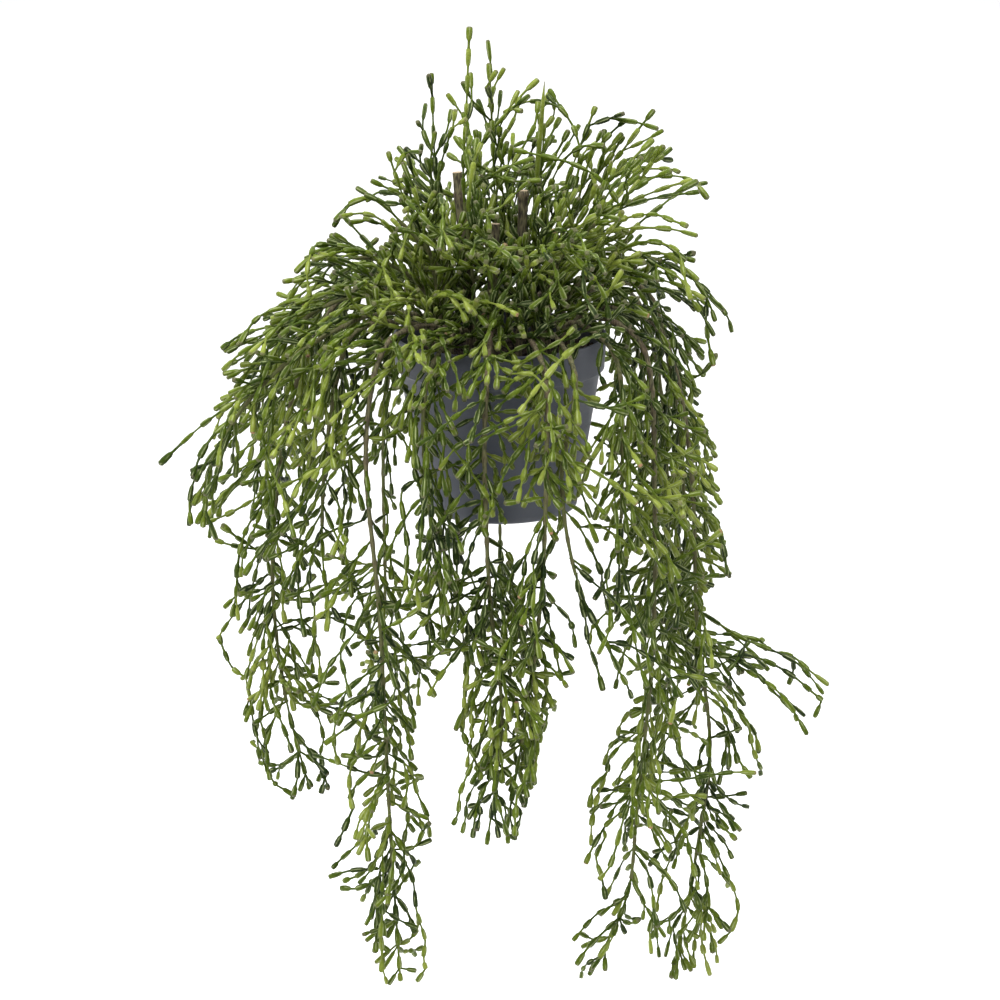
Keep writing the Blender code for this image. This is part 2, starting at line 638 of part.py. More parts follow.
def make_pot(collection, material):
    ledge_height = POT_HEIGHT - COLLAR_HEIGHT
    collar_foot = RIM_RADIUS - 0.0012
    outside = [
        (RIM_RADIUS - LIP_ROUND, POT_HEIGHT),
        (RIM_RADIUS, POT_HEIGHT - LIP_ROUND),
        (collar_foot, ledge_height),
        (body_radius(ledge_height), ledge_height),
        (BASE_RADIUS, 0.0),
        (0.0, 0.0),
    ]
    inside = [
        (0.0, FLOOR),
        (body_radius(FLOOR) - WALL, FLOOR),
        (body_radius(ledge_height) - WALL, ledge_height + WALL),
        (collar_foot - WALL, ledge_height + 2 * WALL),
        (RIM_RADIUS - WALL, POT_HEIGHT),
    ]
    return turn_profile("pot", inside + outside, collection, material)


def make_soil(feet, collection, cutters, material):
    """A plug that fills the pot, a little mounded, with a plain hole for each foot."""
    ledge_height = POT_HEIGHT - COLLAR_HEIGHT
    edge = RIM_RADIUS - 0.0012 - WALL - GAP
    profile = [
        (0.0, SOIL_TOP + SOIL_MOUND),
        (edge, SOIL_TOP),
        (edge, ledge_height + 2 * WALL + 2 * GAP),
        (body_radius(ledge_height) - WALL - GAP, ledge_height + WALL + GAP),
        (body_radius(FLOOR) - WALL - GAP, FLOOR + GAP),
        (0.0, FLOOR + GAP),
    ]
    soil = turn_profile("soil", profile, collection, material)
    for n, (foot, radius) in enumerate(feet):
        hole = bmesh.new()
        bmesh.ops.create_cone(hole, cap_ends=True, segments=HOLE_SIDES, radius1=radius,
                              radius2=radius, depth=HOLE_DEPTH + 0.02)
        mesh = bpy.data.meshes.new(f"hole_{n}")
        hole.to_mesh(mesh)
        hole.free()
        cutter = bpy.data.objects.new(f"hole_{n}", mesh)
        cutter.location = (*foot, SOIL_TOP + 0.01 - HOLE_DEPTH / 2)
        cutter.hide_render = True
        cutter.display_type = "WIRE"
        cutters.objects.link(cutter)
    cut = soil.modifiers.new("Holes", "BOOLEAN")
    cut.operation = "DIFFERENCE"
    cut.operand_type = "COLLECTION"
    cut.collection = cutters
    cut.solver = "EXACT"
    return soil


def main():
    clear_scene()
    parts = new_collection("mistletoe_cactus")
    cutters = new_collection("soil_holes")
    guides = new_collection("sections")
    repeats = new_collection("repeats")
    sections = {
        "twig": make_section("twig_section", 3, guides),
        "axis": make_section("axis_section", 3, guides),
        "stalk": make_section("stalk_section", STALK_SIDES, guides),
    }
    green = make_material("segment_green", SEGMENT_GREEN, 0.5)
    bark = make_material("bark", BARK_BROWN, 0.8)
    plant = plan_plant()
    for name, plan in plant.items():
        if name in STALKS:
            stalk = make_stalk(name, plan[0], plan[1], sections["stalk"], parts)
            make_solid([stalk], parts)[0].data.materials.append(bark)
        else:
            make_stem(name, plan, sections, repeats, parts, green)
    for section in sections.values():
        bpy.data.objects.remove(section)
    make_pot(parts, make_material("pot_plastic", POT_GREY, 0.42))
    feet = [(plan[0], STALK_HOLE_RADIUS if name in STALKS else HOLE_RADIUS)
            for name, plan in plant.items()]
    make_soil(feet, parts, cutters, make_material("potting_soil", SOIL_BROWN, 0.95))


main()
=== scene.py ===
import logging
import math
import random
from collections.abc import Iterator, Mapping, Sequence
from dataclasses import dataclass, field
from enum import Enum
from typing import Any, Self

import bpy
import numpy as np
from mathutils import Euler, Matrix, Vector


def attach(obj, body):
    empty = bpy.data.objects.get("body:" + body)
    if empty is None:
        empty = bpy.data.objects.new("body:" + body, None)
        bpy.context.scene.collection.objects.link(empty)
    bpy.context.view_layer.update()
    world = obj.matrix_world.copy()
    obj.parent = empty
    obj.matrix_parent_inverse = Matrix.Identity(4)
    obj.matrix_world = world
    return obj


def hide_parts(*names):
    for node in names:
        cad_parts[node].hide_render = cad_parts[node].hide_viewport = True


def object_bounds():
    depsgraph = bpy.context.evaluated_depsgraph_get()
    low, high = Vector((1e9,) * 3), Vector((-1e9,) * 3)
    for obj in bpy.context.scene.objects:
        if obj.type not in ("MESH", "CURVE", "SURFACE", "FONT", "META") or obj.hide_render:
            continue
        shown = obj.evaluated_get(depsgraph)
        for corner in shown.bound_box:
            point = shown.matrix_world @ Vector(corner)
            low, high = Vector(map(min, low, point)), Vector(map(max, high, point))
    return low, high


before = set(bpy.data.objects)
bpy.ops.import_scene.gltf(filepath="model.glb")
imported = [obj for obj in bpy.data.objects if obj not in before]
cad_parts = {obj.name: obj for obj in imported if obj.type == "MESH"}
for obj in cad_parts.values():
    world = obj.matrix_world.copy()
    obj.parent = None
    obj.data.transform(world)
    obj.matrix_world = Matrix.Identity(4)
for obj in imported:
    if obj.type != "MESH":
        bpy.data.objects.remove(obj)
CAD_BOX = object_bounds()

Array = np.ndarray
Point = tuple[float, float, float]
Colour = tuple[float, float, float]

# Radius, height and edge wear of one ring of a turned solid
Ring = tuple[float, float, float]

# Pot and soil, as in the solids
POT_HEIGHT = 0.108
RIM_RADIUS = 0.065
BASE_RADIUS = 0.0475
COLLAR_HEIGHT = 0.021
COLLAR_TAPER = 0.0012
LEDGE = 0.0024
WALL = 0.0016
FLOOR = 0.0022
SOIL_TOP = 0.0955
SOIL_MOUND = 0.0025
HOLE_DEPTH = 0.022
GAP = 0.0003

# Paths: the step between their points, and how a curve is worked out through its knots
PATH_STEP = 0.006
CURVE_STEPS = 24
LEAD_IN = 0.8
RUN_OUT = 0.5

# Planting and main axes, as in the solids
HOLE_SPACING = 0.0084
HOLES_WITHIN = 0.0525
FEET_ROUNDS = 400
FEET_PUSH = 0.25
FEET_DRAWN_IN = 0.86
AXIS_ROUNDS = 80
AXIS_PUSH = 0.3
AXIS_SPACING = 0.0062
RIM_BAND = 0.008
RIM_DIP = 0.02
WOOD_FOOT_RADIUS = 0.0022
WOOD_STEP = 0.022
STRAIGHT_ABOVE_SOIL = 0.004
STALK_RADIUS = 0.0031

# Twigs, as in the solids
SEGMENTS = (0.0135, 0.0195)
CLUB_RADIUS = 0.0026
ROOT_SINK = 0.0012
END_SINK = 0.003
END_OVER = 0.4
CLEARANCE = 0.0006
OWN_CLEARANCE = 0.72
NEARBY = 0.04
PROBES = 5
FIRST_WHORL_AT = 0.024
GOLDEN_ANGLE = math.radians(137.5)
END_TWIGS_LATER = 0.1
END_TWIG_SEGMENTS = 2
FORK_CHANCE = 0.28
FORK_SPREAD = math.radians(24)
TRIES = 7
TWIG_LEAN = (42, 66)
BEND = 14
BEND_MORE = 9
PULL = 0.32
KEEP_OUT = 0.0045
KEEP_OUT_BELOW = 0.006
SEED = 7

# Where twigs turn to: the shares of their axis and of outwards, the lift on an axis that
# climbs, the drop on one that falls, and the drop on one that lies level
GOAL_ALONG = 0.75
GOAL_OUTWARD = 0.25
GOAL_CLIMB = 0.55
GOAL_FALL = 1.1
GOAL_LEVEL = 0.55

# A direction that no axis follows, from which turns round an axis are measured
ASKEW = np.array([0.3, 0.2, 0.9])

# Numbers too small to matter: lengths, and how far two directions are from parallel
HAIR = 1e-6
SPECK = 1e-9
PARALLEL = 1e-18

# Finer twigs, which fill the plant out
FILL_SEED = 177
FILL_LONGEST = 0.0185
FILL_FORK_CHANCE = 0.42
FILL_FORK_SPREAD = (18, 40)
FILL_CLEAR = 0.0028
FILL_TRIES = 5
FILL_BEND_MORE = 8
FILL_PROBES = 4
FILL_MARGIN = 0.004
WHORL_VARIES = (0.8, 1.2)
HIGH_TAIL = 1.35
LOW_TAIL = 0.8
CARRY_ON_CHANCE = 0.6
CARRY_ON_SEGMENTS = (1, 3)
JOINT_LEAN = (24, 58)
JOINT_SEGMENTS = (2, 6)
TWIG_JOINT_CHANCE = 0.45
END_JOINT_CHANCE = 0.9
STRAND_OVER = 0.005
STRAND_WANDER = 0.0012
FOOT_SCATTER = 0.0045
POT_CLEAR = 0.0028
WELL_RADIUS = 0.059
MOST_PIECES = 20000

# Each stem's seed for the looks of its segments is this much after the last stem's
SEEDS_APART = 10


class Habit(Enum):
    """How a stem grows."""

    CROWN = "crown"
    ARCH = "arch"
    TAIL = "tail"


@dataclass(frozen=True)
class Growth:
    """How twigs stand along the stems of one habit.

    whorl, segments and end_chance are those of the solids; the rest is for the finer twigs:
    their whorls, how many stand in each, their segments, how many stand at each joint of a
    green end, how long their segments are, the bend at their joints and the angle they leave
    at in degrees, how much they turn to their goal, sag and curl.
    """

    whorl: float
    segments: int
    end_chance: float
    fill_whorl: float
    fill_twigs: int
    fill_segments: tuple[int, int]
    end_twigs: int
    lengths: tuple[float, float]
    bend: float
    lean: tuple[float, float]
    pull: float
    sag: float
    curl: float


GROWTH = {
    Habit.CROWN: Growth(0.038, 4, 0.62, 0.0130, 3, (4, 8), 1, (0.0115, 0.0180), 12,
                        (20, 50), 0.30, 0.10, 0.24),
    Habit.ARCH: Growth(0.042, 3, 0.48, 0.0140, 3, (4, 8), 1, (0.0115, 0.0180), 12,
                       (25, 60), 0.30, 0.14, 0.26),
    Habit.TAIL: Growth(0.052, 3, 0.36, 0.0125, 3, (4, 8), 3, (0.0100, 0.0155), 18,
                       (35, 78), 0.22, 0.16, 0.40),
}

# How many times as far apart the finer twigs of some stems stand
THINNER = {"front_swing": 2.4, "back_middle_tail": 2.2, "right_inner": 1.4, "right_outer": 1.5,
           "right_back": 1.8, "crown_tall_left": 1.5, "left_fall": 1.2, "back_left_tail": 1.3,
           "right_upper": 1.2, "front_tail": 0.75, "front_right_tail": 0.7, "left_inner": 0.75}

# Where the view from the front goes in to the cut stalks: x and z, seen as the outline is.
# No finer twig grows across these in front of STALKS_BEHIND.
OPENINGS = [(-0.034, -0.024, 0.172, 0.212), (-0.005, 0.003, 0.162, 0.178),
            (0.010, 0.020, 0.170, 0.196)]
STALKS_BEHIND = 0.014

# Where the plant is thinner, seen from the front as its outline is: x, z, and the share of
# the finer twigs' segments that stop there
SPARSE = [(-0.090, -0.053, -0.037, 0.018, 0.65), (0.037, 0.064, -0.066, -0.008, 0.7),
          (0.060, 0.090, -0.124, -0.087, 0.7), (0.108, 0.136, 0.075, 0.128, 0.5),
          (-0.096, -0.059, 0.165, 0.220, 0.6), (-0.136, -0.099, -0.090, -0.061, 0.3),
          (-0.113, -0.087, -0.130, -0.063, 0.5), (-0.019, 0.037, -0.037, -0.012, 0.4),
          (0.127, 0.154, -0.090, -0.057, 0.6), (0.139, 0.184, -0.144, -0.113, 0.5),
          (0.113, 0.141, -0.170, -0.116, 0.45), (0.038, 0.063, -0.090, -0.062, 0.6),
          (0.063, 0.091, -0.252, -0.221, 0.5), (0.115, 0.143, -0.252, -0.221, 0.4),
          (-0.045, 0.010, 0.243, 0.300, 0.5), (0.085, 0.110, 0.072, 0.097, 0.4)]

# The points of each stem's axis above its foot, and the length at its end that is green
# segments instead of wood.
STEMS: dict[str, tuple[list[Point], float]] = {
    "crown_tall_left": ([(-0.017, 0.000, 0.147), (-0.022, 0.000, 0.196),
                         (-0.020, -0.005, 0.245), (-0.018, -0.005, 0.294)], 0.105),
    "crown_tall_middle": ([(-0.002, 0.022, 0.148), (-0.004, 0.028, 0.209),
                           (-0.007, 0.030, 0.276)], 0.100),
    "crown_left": ([(-0.033, 0.010, 0.151), (-0.039, 0.015, 0.205),
                    (-0.041, 0.015, 0.264)], 0.085),
    "crown_left_low": ([(-0.041, -0.022, 0.158), (-0.056, -0.045, 0.198),
                        (-0.065, -0.055, 0.228)], 0.060),
    "crown_right": ([(0.015, 0.005, 0.152), (0.024, 0.010, 0.200),
                     (0.027, 0.010, 0.240)], 0.070),
    "crown_right_high": ([(0.024, 0.018, 0.150), (0.042, 0.026, 0.200),
                          (0.058, 0.028, 0.242)], 0.075),
    "crown_right_back": ([(0.031, 0.022, 0.150), (0.062, 0.032, 0.192),
                          (0.103, 0.032, 0.220)], 0.070),
    "crown_right_low": ([(0.034, -0.013, 0.152), (0.072, -0.030, 0.190),
                         (0.122, -0.042, 0.203)], 0.075),
    "crown_front": ([(-0.004, -0.034, 0.150), (-0.011, -0.080, 0.183),
                     (-0.018, -0.120, 0.174)], 0.060),
    "crown_front_right": ([(0.014, -0.030, 0.148), (0.036, -0.082, 0.177),
                           (0.052, -0.118, 0.166)], 0.060),
    "crown_back": ([(0.006, 0.050, 0.150), (0.016, 0.095, 0.186),
                    (0.028, 0.135, 0.196)], 0.070),
    "crown_back_left": ([(-0.027, 0.046, 0.152), (-0.052, 0.095, 0.180),
                         (-0.068, 0.136, 0.178)], 0.070),
    "left_high": ([(-0.036, -0.004, 0.146), (-0.062, -0.012, 0.181),
                   (-0.083, -0.018, 0.196), (-0.103, -0.020, 0.172)], 0.060),
    "left_upper": ([(-0.045, -0.012, 0.136), (-0.077, -0.025, 0.159),
                    (-0.110, -0.035, 0.153), (-0.130, -0.040, 0.131)], 0.055),
    "left_middle": ([(-0.046, -0.028, 0.131), (-0.091, -0.055, 0.141),
                     (-0.132, -0.070, 0.118), (-0.158, -0.075, 0.088)], 0.055),
    "left_low": ([(-0.042, -0.040, 0.126), (-0.090, -0.080, 0.130), (-0.136, -0.095, 0.100),
                  (-0.165, -0.100, 0.058), (-0.174, -0.100, 0.014)], 0.055),
    "left_back": ([(-0.046, 0.034, 0.132), (-0.100, 0.078, 0.122), (-0.146, 0.105, 0.046),
                   (-0.165, 0.105, -0.050)], 0.060),
    "left_outer_tail": ([(-0.050, 0.004, 0.128), (-0.096, -0.006, 0.130),
                         (-0.127, -0.020, 0.068), (-0.140, -0.020, -0.031),
                         (-0.135, -0.020, -0.112), (-0.120, -0.020, -0.182)], 0.060),
    "left_fall": ([(-0.044, -0.044, 0.122), (-0.084, -0.078, 0.128), (-0.100, -0.088, 0.070),
                   (-0.105, -0.088, 0.005), (-0.102, -0.088, -0.042)], 0.055),
    "left_long_tail": ([(-0.034, -0.048, 0.122), (-0.066, -0.090, 0.121),
                        (-0.078, -0.100, 0.061), (-0.071, -0.100, -0.043),
                        (-0.067, -0.100, -0.157), (-0.061, -0.100, -0.276)], 0.070),
    "left_inner": ([(-0.021, -0.052, 0.122), (-0.040, -0.095, 0.108),
                    (-0.044, -0.105, 0.060), (-0.033, -0.105, -0.048)], 0.060),
    "front_tail": ([(-0.005, -0.053, 0.122), (-0.007, -0.096, 0.109), (-0.009, -0.105, 0.060),
                    (-0.006, -0.105, -0.029), (0.001, -0.105, -0.104),
                    (-0.009, -0.105, -0.192)], 0.060),
    "front_right_tail": ([(0.012, -0.052, 0.122), (0.026, -0.096, 0.106),
                          (0.027, -0.105, 0.060), (0.024, -0.105, -0.029),
                          (0.013, -0.105, -0.117), (0.003, -0.105, -0.178)], 0.060),
    "front_swing": ([(0.028, -0.046, 0.120), (0.044, -0.085, 0.100), (0.036, -0.096, 0.041),
                     (0.047, -0.100, -0.024), (0.074, -0.100, -0.080)], 0.075),
    "right_inner": ([(0.042, -0.034, 0.122), (0.068, -0.068, 0.108), (0.072, -0.080, 0.049),
                     (0.070, -0.080, -0.046)], 0.060),
    "right_long_tail": ([(0.049, -0.018, 0.122), (0.086, -0.042, 0.107),
                         (0.093, -0.050, 0.016), (0.093, -0.050, -0.079),
                         (0.085, -0.050, -0.185), (0.079, -0.050, -0.243),
                         (0.056, -0.050, -0.296)], 0.070),
    "right_outer_tail": ([(0.051, 0.008, 0.122), (0.098, 0.010, 0.107), (0.118, 0.010, 0.025),
                          (0.124, 0.010, -0.080), (0.134, 0.010, -0.165),
                          (0.127, 0.010, -0.235), (0.113, 0.010, -0.327)], 0.086),
    "right_outer": ([(0.048, 0.022, 0.126), (0.090, 0.036, 0.127), (0.108, 0.045, 0.067),
                     (0.117, 0.045, -0.011), (0.117, 0.045, -0.074)], 0.060),
    "right_upper": ([(0.044, -0.004, 0.136), (0.084, -0.012, 0.157),
                     (0.117, -0.018, 0.144), (0.131, -0.020, 0.116)], 0.055),
    "right_back": ([(0.042, 0.036, 0.122), (0.086, 0.082, 0.112), (0.107, 0.105, 0.026),
                    (0.111, 0.105, -0.100)], 0.060),
    "back_left_tail": ([(-0.030, 0.050, 0.122), (-0.060, 0.104, 0.114),
                        (-0.076, 0.125, 0.021), (-0.077, 0.125, -0.100),
                        (-0.082, 0.125, -0.180)], 0.065),
    "back_middle_tail": ([(-0.004, 0.056, 0.122), (0.000, 0.112, 0.117),
                          (0.000, 0.132, 0.032), (0.000, 0.132, -0.060),
                          (0.003, 0.132, -0.130)], 0.060),
    "back_right_tail": ([(0.026, 0.050, 0.122), (0.074, 0.106, 0.111), (0.102, 0.125, 0.007),
                         (0.114, 0.125, -0.120), (0.110, 0.125, -0.232)], 0.065),
}

# The plant's outline as it is seen from VIEW_PLACE, in front of it: x and z in the plane
# through the pot's middle. No twig grows beyond it.
OUTLINE = np.array([
    (-0.020, 0.298), (-0.023, 0.272), (-0.030, 0.255), (-0.035, 0.257), (-0.036, 0.271),
    (-0.043, 0.272), (-0.045, 0.243), (-0.067, 0.225), (-0.065, 0.204), (-0.080, 0.204),
    (-0.090, 0.199), (-0.093, 0.186), (-0.109, 0.164), (-0.137, 0.136), (-0.140, 0.123),
    (-0.172, 0.096), (-0.172, 0.068), (-0.207, 0.029), (-0.192, 0.010), (-0.196, -0.014),
    (-0.163, -0.038), (-0.178, -0.083), (-0.169, -0.123), (-0.150, -0.182), (-0.128, -0.201),
    (-0.108, -0.190), (-0.098, -0.160), (-0.096, -0.201), (-0.116, -0.244), (-0.095, -0.270),
    (-0.079, -0.328), (-0.053, -0.327), (-0.044, -0.305), (-0.055, -0.247), (-0.043, -0.226),
    (-0.051, -0.170), (-0.052, -0.144), (-0.034, -0.130), (-0.028, -0.079), (-0.025, -0.123),
    (-0.034, -0.142), (-0.019, -0.190), (-0.032, -0.221), (-0.014, -0.240), (0.010, -0.226),
    (0.023, -0.184), (0.024, -0.160), (0.047, -0.111), (0.049, -0.063), (0.063, -0.126),
    (0.081, -0.123), (0.083, -0.130), (0.057, -0.190), (0.051, -0.252), (0.068, -0.270),
    (0.044, -0.297), (0.052, -0.321), (0.068, -0.325), (0.074, -0.293), (0.094, -0.284),
    (0.097, -0.310), (0.112, -0.325), (0.139, -0.316), (0.154, -0.275), (0.150, -0.240),
    (0.167, -0.175), (0.159, -0.138), (0.172, -0.124), (0.198, -0.148), (0.209, -0.123),
    (0.158, -0.084), (0.141, -0.034), (0.134, 0.031), (0.121, 0.066), (0.145, 0.115),
    (0.115, 0.146), (0.134, 0.181), (0.127, 0.202), (0.109, 0.203), (0.103, 0.221),
    (0.094, 0.246), (0.043, 0.237), (0.024, 0.264), (0.013, 0.255), (-0.007, 0.289)])
VIEW_PLACE = np.array([0.0, -1.75, 0.506])

# The side axes that swing out of a stem: the height where each leaves, and its points
SIDE_AXES: dict[str, list[tuple[float, list[Point]]]] = {
    "right_outer_tail": [(-0.080, [(0.152, -0.004, -0.087), (0.184, -0.010, -0.100),
                                   (0.205, -0.012, -0.124)]),
                         (-0.092, [(0.148, -0.012, -0.102), (0.174, -0.024, -0.116),
                                   (0.193, -0.026, -0.145)])],
    "left_low": [(0.098, [(-0.171, -0.094, 0.076), (-0.199, -0.092, 0.050)])],
}

# Finer strands of segments that swing out of a stem, each from the place on it that is
# nearest to the first point: the depth y where the strand hangs, and x and z of its points
STRANDS: dict[str, list[tuple[float, list[tuple[float, float]]]]] = {
    "crown_tall_middle": [
        (0.030, [(-0.006, 0.266), (-0.007, 0.276), (-0.006, 0.285)]),
        (0.030, [(-0.005, 0.238), (-0.002, 0.252), (0.003, 0.266)])],
    "crown_left_low": [
        (-0.050, [(-0.051, 0.189), (-0.067, 0.196), (-0.085, 0.208)])],
    "crown_right_back": [
        (0.030, [(0.058, 0.189), (0.074, 0.215), (0.091, 0.233)]),
        (0.030, [(0.044, 0.175), (0.063, 0.206), (0.078, 0.232)])],
    "right_upper": [
        (-0.018, [(0.113, 0.147), (0.127, 0.133), (0.140, 0.119)]),
        (-0.018, [(0.123, 0.132), (0.125, 0.108), (0.129, 0.086)])],
    "left_outer_tail": [
        (-0.020, [(-0.139, -0.040), (-0.154, -0.051), (-0.166, -0.066), (-0.174, -0.083)]),
        (-0.020, [(-0.139, -0.057), (-0.151, -0.084), (-0.158, -0.109), (-0.156, -0.132)]),
        (-0.020, [(-0.137, -0.089), (-0.147, -0.122), (-0.148, -0.150), (-0.141, -0.181)]),
        (-0.020, [(-0.138, -0.076), (-0.124, -0.068), (-0.115, -0.083), (-0.117, -0.101)]),
        (-0.020, [(-0.133, -0.116), (-0.117, -0.128), (-0.110, -0.154), (-0.115, -0.181)])],
    "left_long_tail": [
        (-0.100, [(-0.071, -0.024), (-0.086, -0.034), (-0.095, -0.056)]),
        (-0.100, [(-0.069, -0.087), (-0.088, -0.094), (-0.098, -0.115), (-0.096, -0.139)]),
        (-0.100, [(-0.069, -0.119), (-0.084, -0.128), (-0.092, -0.147), (-0.089, -0.169)]),
        (-0.100, [(-0.068, -0.128), (-0.054, -0.139), (-0.045, -0.160), (-0.043, -0.184)]),
        (-0.100, [(-0.067, -0.170), (-0.083, -0.185), (-0.101, -0.200)]),
        (-0.100, [(-0.066, -0.183), (-0.053, -0.208), (-0.049, -0.239), (-0.044, -0.266)]),
        (-0.100, [(-0.065, -0.189), (-0.074, -0.221), (-0.072, -0.252), (-0.069, -0.277)])],
    "left_inner": [
        (-0.105, [(-0.043, 0.050), (-0.055, 0.037), (-0.057, 0.014), (-0.055, -0.008)]),
        (-0.105, [(-0.042, 0.035), (-0.029, 0.014), (-0.025, -0.017), (-0.022, -0.049)]),
        (-0.105, [(-0.041, 0.020), (-0.032, -0.004), (-0.028, -0.029), (-0.030, -0.055)])],
    "front_tail": [
        (-0.105, [(-0.006, -0.023), (-0.018, -0.054), (-0.021, -0.085), (-0.022, -0.107)]),
        (-0.105, [(0.001, -0.091), (-0.013, -0.118), (-0.022, -0.149), (-0.026, -0.174)]),
        (-0.105, [(-0.001, -0.115), (-0.010, -0.149), (-0.018, -0.187)])],
    "front_swing": [
        (-0.100, [(0.044, -0.015), (0.052, -0.056), (0.060, -0.087)]),
        (-0.100, [(0.053, -0.034), (0.066, -0.062), (0.075, -0.084)])],
    "right_long_tail": [
        (-0.050, [(0.089, -0.124), (0.070, -0.149), (0.059, -0.177), (0.055, -0.209)]),
        (-0.050, [(0.087, -0.164), (0.071, -0.186), (0.062, -0.211), (0.065, -0.235)])],
    "right_outer_tail": [
        (-0.002, [(0.128, -0.086), (0.147, -0.086), (0.171, -0.094), (0.192, -0.105),
                  (0.208, -0.119)]),
        (-0.010, [(0.129, -0.094), (0.155, -0.096), (0.182, -0.110), (0.203, -0.125)]),
        (-0.018, [(0.131, -0.103), (0.153, -0.099), (0.176, -0.123), (0.187, -0.138)]),
        (0.010, [(0.129, -0.110), (0.149, -0.133), (0.158, -0.157), (0.164, -0.172)]),
        (0.010, [(0.132, -0.133), (0.147, -0.153), (0.152, -0.179)]),
        (0.010, [(0.128, -0.232), (0.134, -0.267), (0.130, -0.298), (0.136, -0.322)]),
        (0.010, [(0.130, -0.215), (0.145, -0.246), (0.153, -0.274), (0.151, -0.295)])],
}

# Cut stalks: foot on the soil and top
STALKS: dict[str, tuple[tuple[float, float], Point]] = {
    "cut_stalk_left": ((-0.018, 0.014), (-0.026, 0.015, 0.204)),
    "cut_stalk_middle": ((-0.006, -0.006), (-0.003, -0.004, 0.176)),
    "cut_stalk_right": ((0.012, 0.018), (0.014, 0.020, 0.192)),
}

# The long pointed young shoot in the crown: the stem that bears it, the height of its foot and
# its tip in the solids. SHOOT_TIP is the tip that is shown.
YOUNG_SHOOT: tuple[str, float, Point] = ("crown_right", 0.180, (0.0245, 0.000, 0.249))
SHOOT_TIP: Point = (0.0265, 0.000, 0.261)


def unit(vector: Array) -> Array:
    """The vector at length 1."""
    return vector / np.linalg.norm(vector)


def strewn(draw: random.Random, spread: float) -> Array:
    """A random vector, its numbers spread round 0."""
    return np.array([draw.gauss(0, spread) for _ in range(3)])


def lengths_along(points: Array) -> Array:
    """The distance of each point from the first, along the path."""
    return np.concatenate([[0.0], np.cumsum(np.linalg.norm(np.diff(points, axis=0), axis=1))])


def spot_at(points: Array, lengths: Array, at: float) -> Array:
    """The place on a path at a distance from its start."""
    return np.array([np.interp(at, lengths, points[:, axis]) for axis in range(3)])


def resample(points: Array, step: float) -> Array:
    """The path again, with even steps of about the given length."""
    lengths = lengths_along(points)
    count = max(2, round(lengths[-1] / step) + 1)
    at = np.linspace(0.0, lengths[-1], count)
    return np.column_stack([np.interp(at, lengths, points[:, axis]) for axis in range(3)])


def catmull_rom(a: Array, b: Array, c: Array, d: Array, t: Any) -> Array:
    """The place at a share t of the way from b to c, on the curve through all four."""
    return 0.5 * (2 * b + (c - a) * t + (2 * a - 5 * b + 4 * c - d) * t**2
                  + (3 * b - a - 3 * c + d) * t**3)


def smooth_path(points: Sequence[Sequence[float]], first_direction: Array) -> Array:
    """Evenly spaced points on a Catmull-Rom curve.

    Args:
        points: The places that the curve passes through.
        first_direction: The way it leaves the first of them.

    Returns:
        The curve's points, one each PATH_STEP.
    """
    spots = [np.array(point, float) for point in points]
    before = spots[0] - first_direction * np.linalg.norm(spots[1] - spots[0]) * LEAD_IN
    after = spots[-1] + (spots[-1] - spots[-2]) * RUN_OUT
    knots = [before, *spots, after]
    shares = np.linspace(0.0, 1.0, CURVE_STEPS, endpoint=False)
    dense = [catmull_rom(*four, share)
             for four in zip(knots, knots[1:], knots[2:], knots[3:]) for share in shares]
    return resample(np.array([*dense, spots[-1]]), PATH_STEP)


def joints_along(path: Array, draw: random.Random, segments: tuple[float, float], over: float,
                 wander: float = 0.0) -> list[Array]:
    """The joints of a row of segments along a path.

    Args:
        path: The path's points.
        draw: The random numbers to use.
        segments: The shortest and the longest segment.
        over: How far past the path's end a joint may fall and be drawn back to it.
        wander: How far the joints stray from the path.

    Returns:
        The joints.
    """
    lengths = lengths_along(path)
    at, joints = 0.0, []
    while at < lengths[-1] + over:
        aside = strewn(draw, wander) if wander else 0.0
        joints.append(spot_at(path, lengths, min(at, lengths[-1])) + aside)
        at += draw.uniform(*segments)
    return joints


def distances(start: Array, end: Array, starts: Array, ends: Array) -> Array:
    """Shortest distance from one straight piece to each of many."""
    along, alongs, between = end - start, ends - starts, start - starts
    a = along @ along
    e = np.einsum("ij,ij->i", alongs, alongs)
    f = np.einsum("ij,ij->i", alongs, between)
    b, c = alongs @ along, between @ along
    spread = a * e - b * b
    s = np.where(spread > PARALLEL, (b * f - c * e) / np.maximum(spread, PARALLEL), 0.0)
    s = np.clip(s, 0.0, 1.0)
    t = np.clip((b * s + f) / e, 0.0, 1.0)
    s = np.clip((b * t - c) / a, 0.0, 1.0)
    return np.linalg.norm(between + s[:, None] * along - t[:, None] * alongs, axis=1)


def in_sight(spot: Array) -> Array:
    """Where the line from VIEW_PLACE through a place meets the plane through the middle."""
    return VIEW_PLACE + (spot - VIEW_PLACE) * VIEW_PLACE[1] / (VIEW_PLACE[1] - spot[1])


def in_box(sight: Array, left: float, right: float, low: float, high: float) -> bool:
    """Whether a place in the plane through the middle lies in a box of that plane."""
    return left < sight[0] < right and low < sight[2] < high


def in_opening(spot: Array) -> bool:
    """Whether a place lies in front of the cut stalks, in one of the openings."""
    return spot[1] < STALKS_BEHIND and any(in_box(in_sight(spot), *box) for box in OPENINGS)


def thinning_at(spot: Array) -> float:
    """The share of finer segments that stop at a place."""
    sight = in_sight(spot)
    return max((share for *box, share in SPARSE if in_box(sight, *box)), default=0.0)


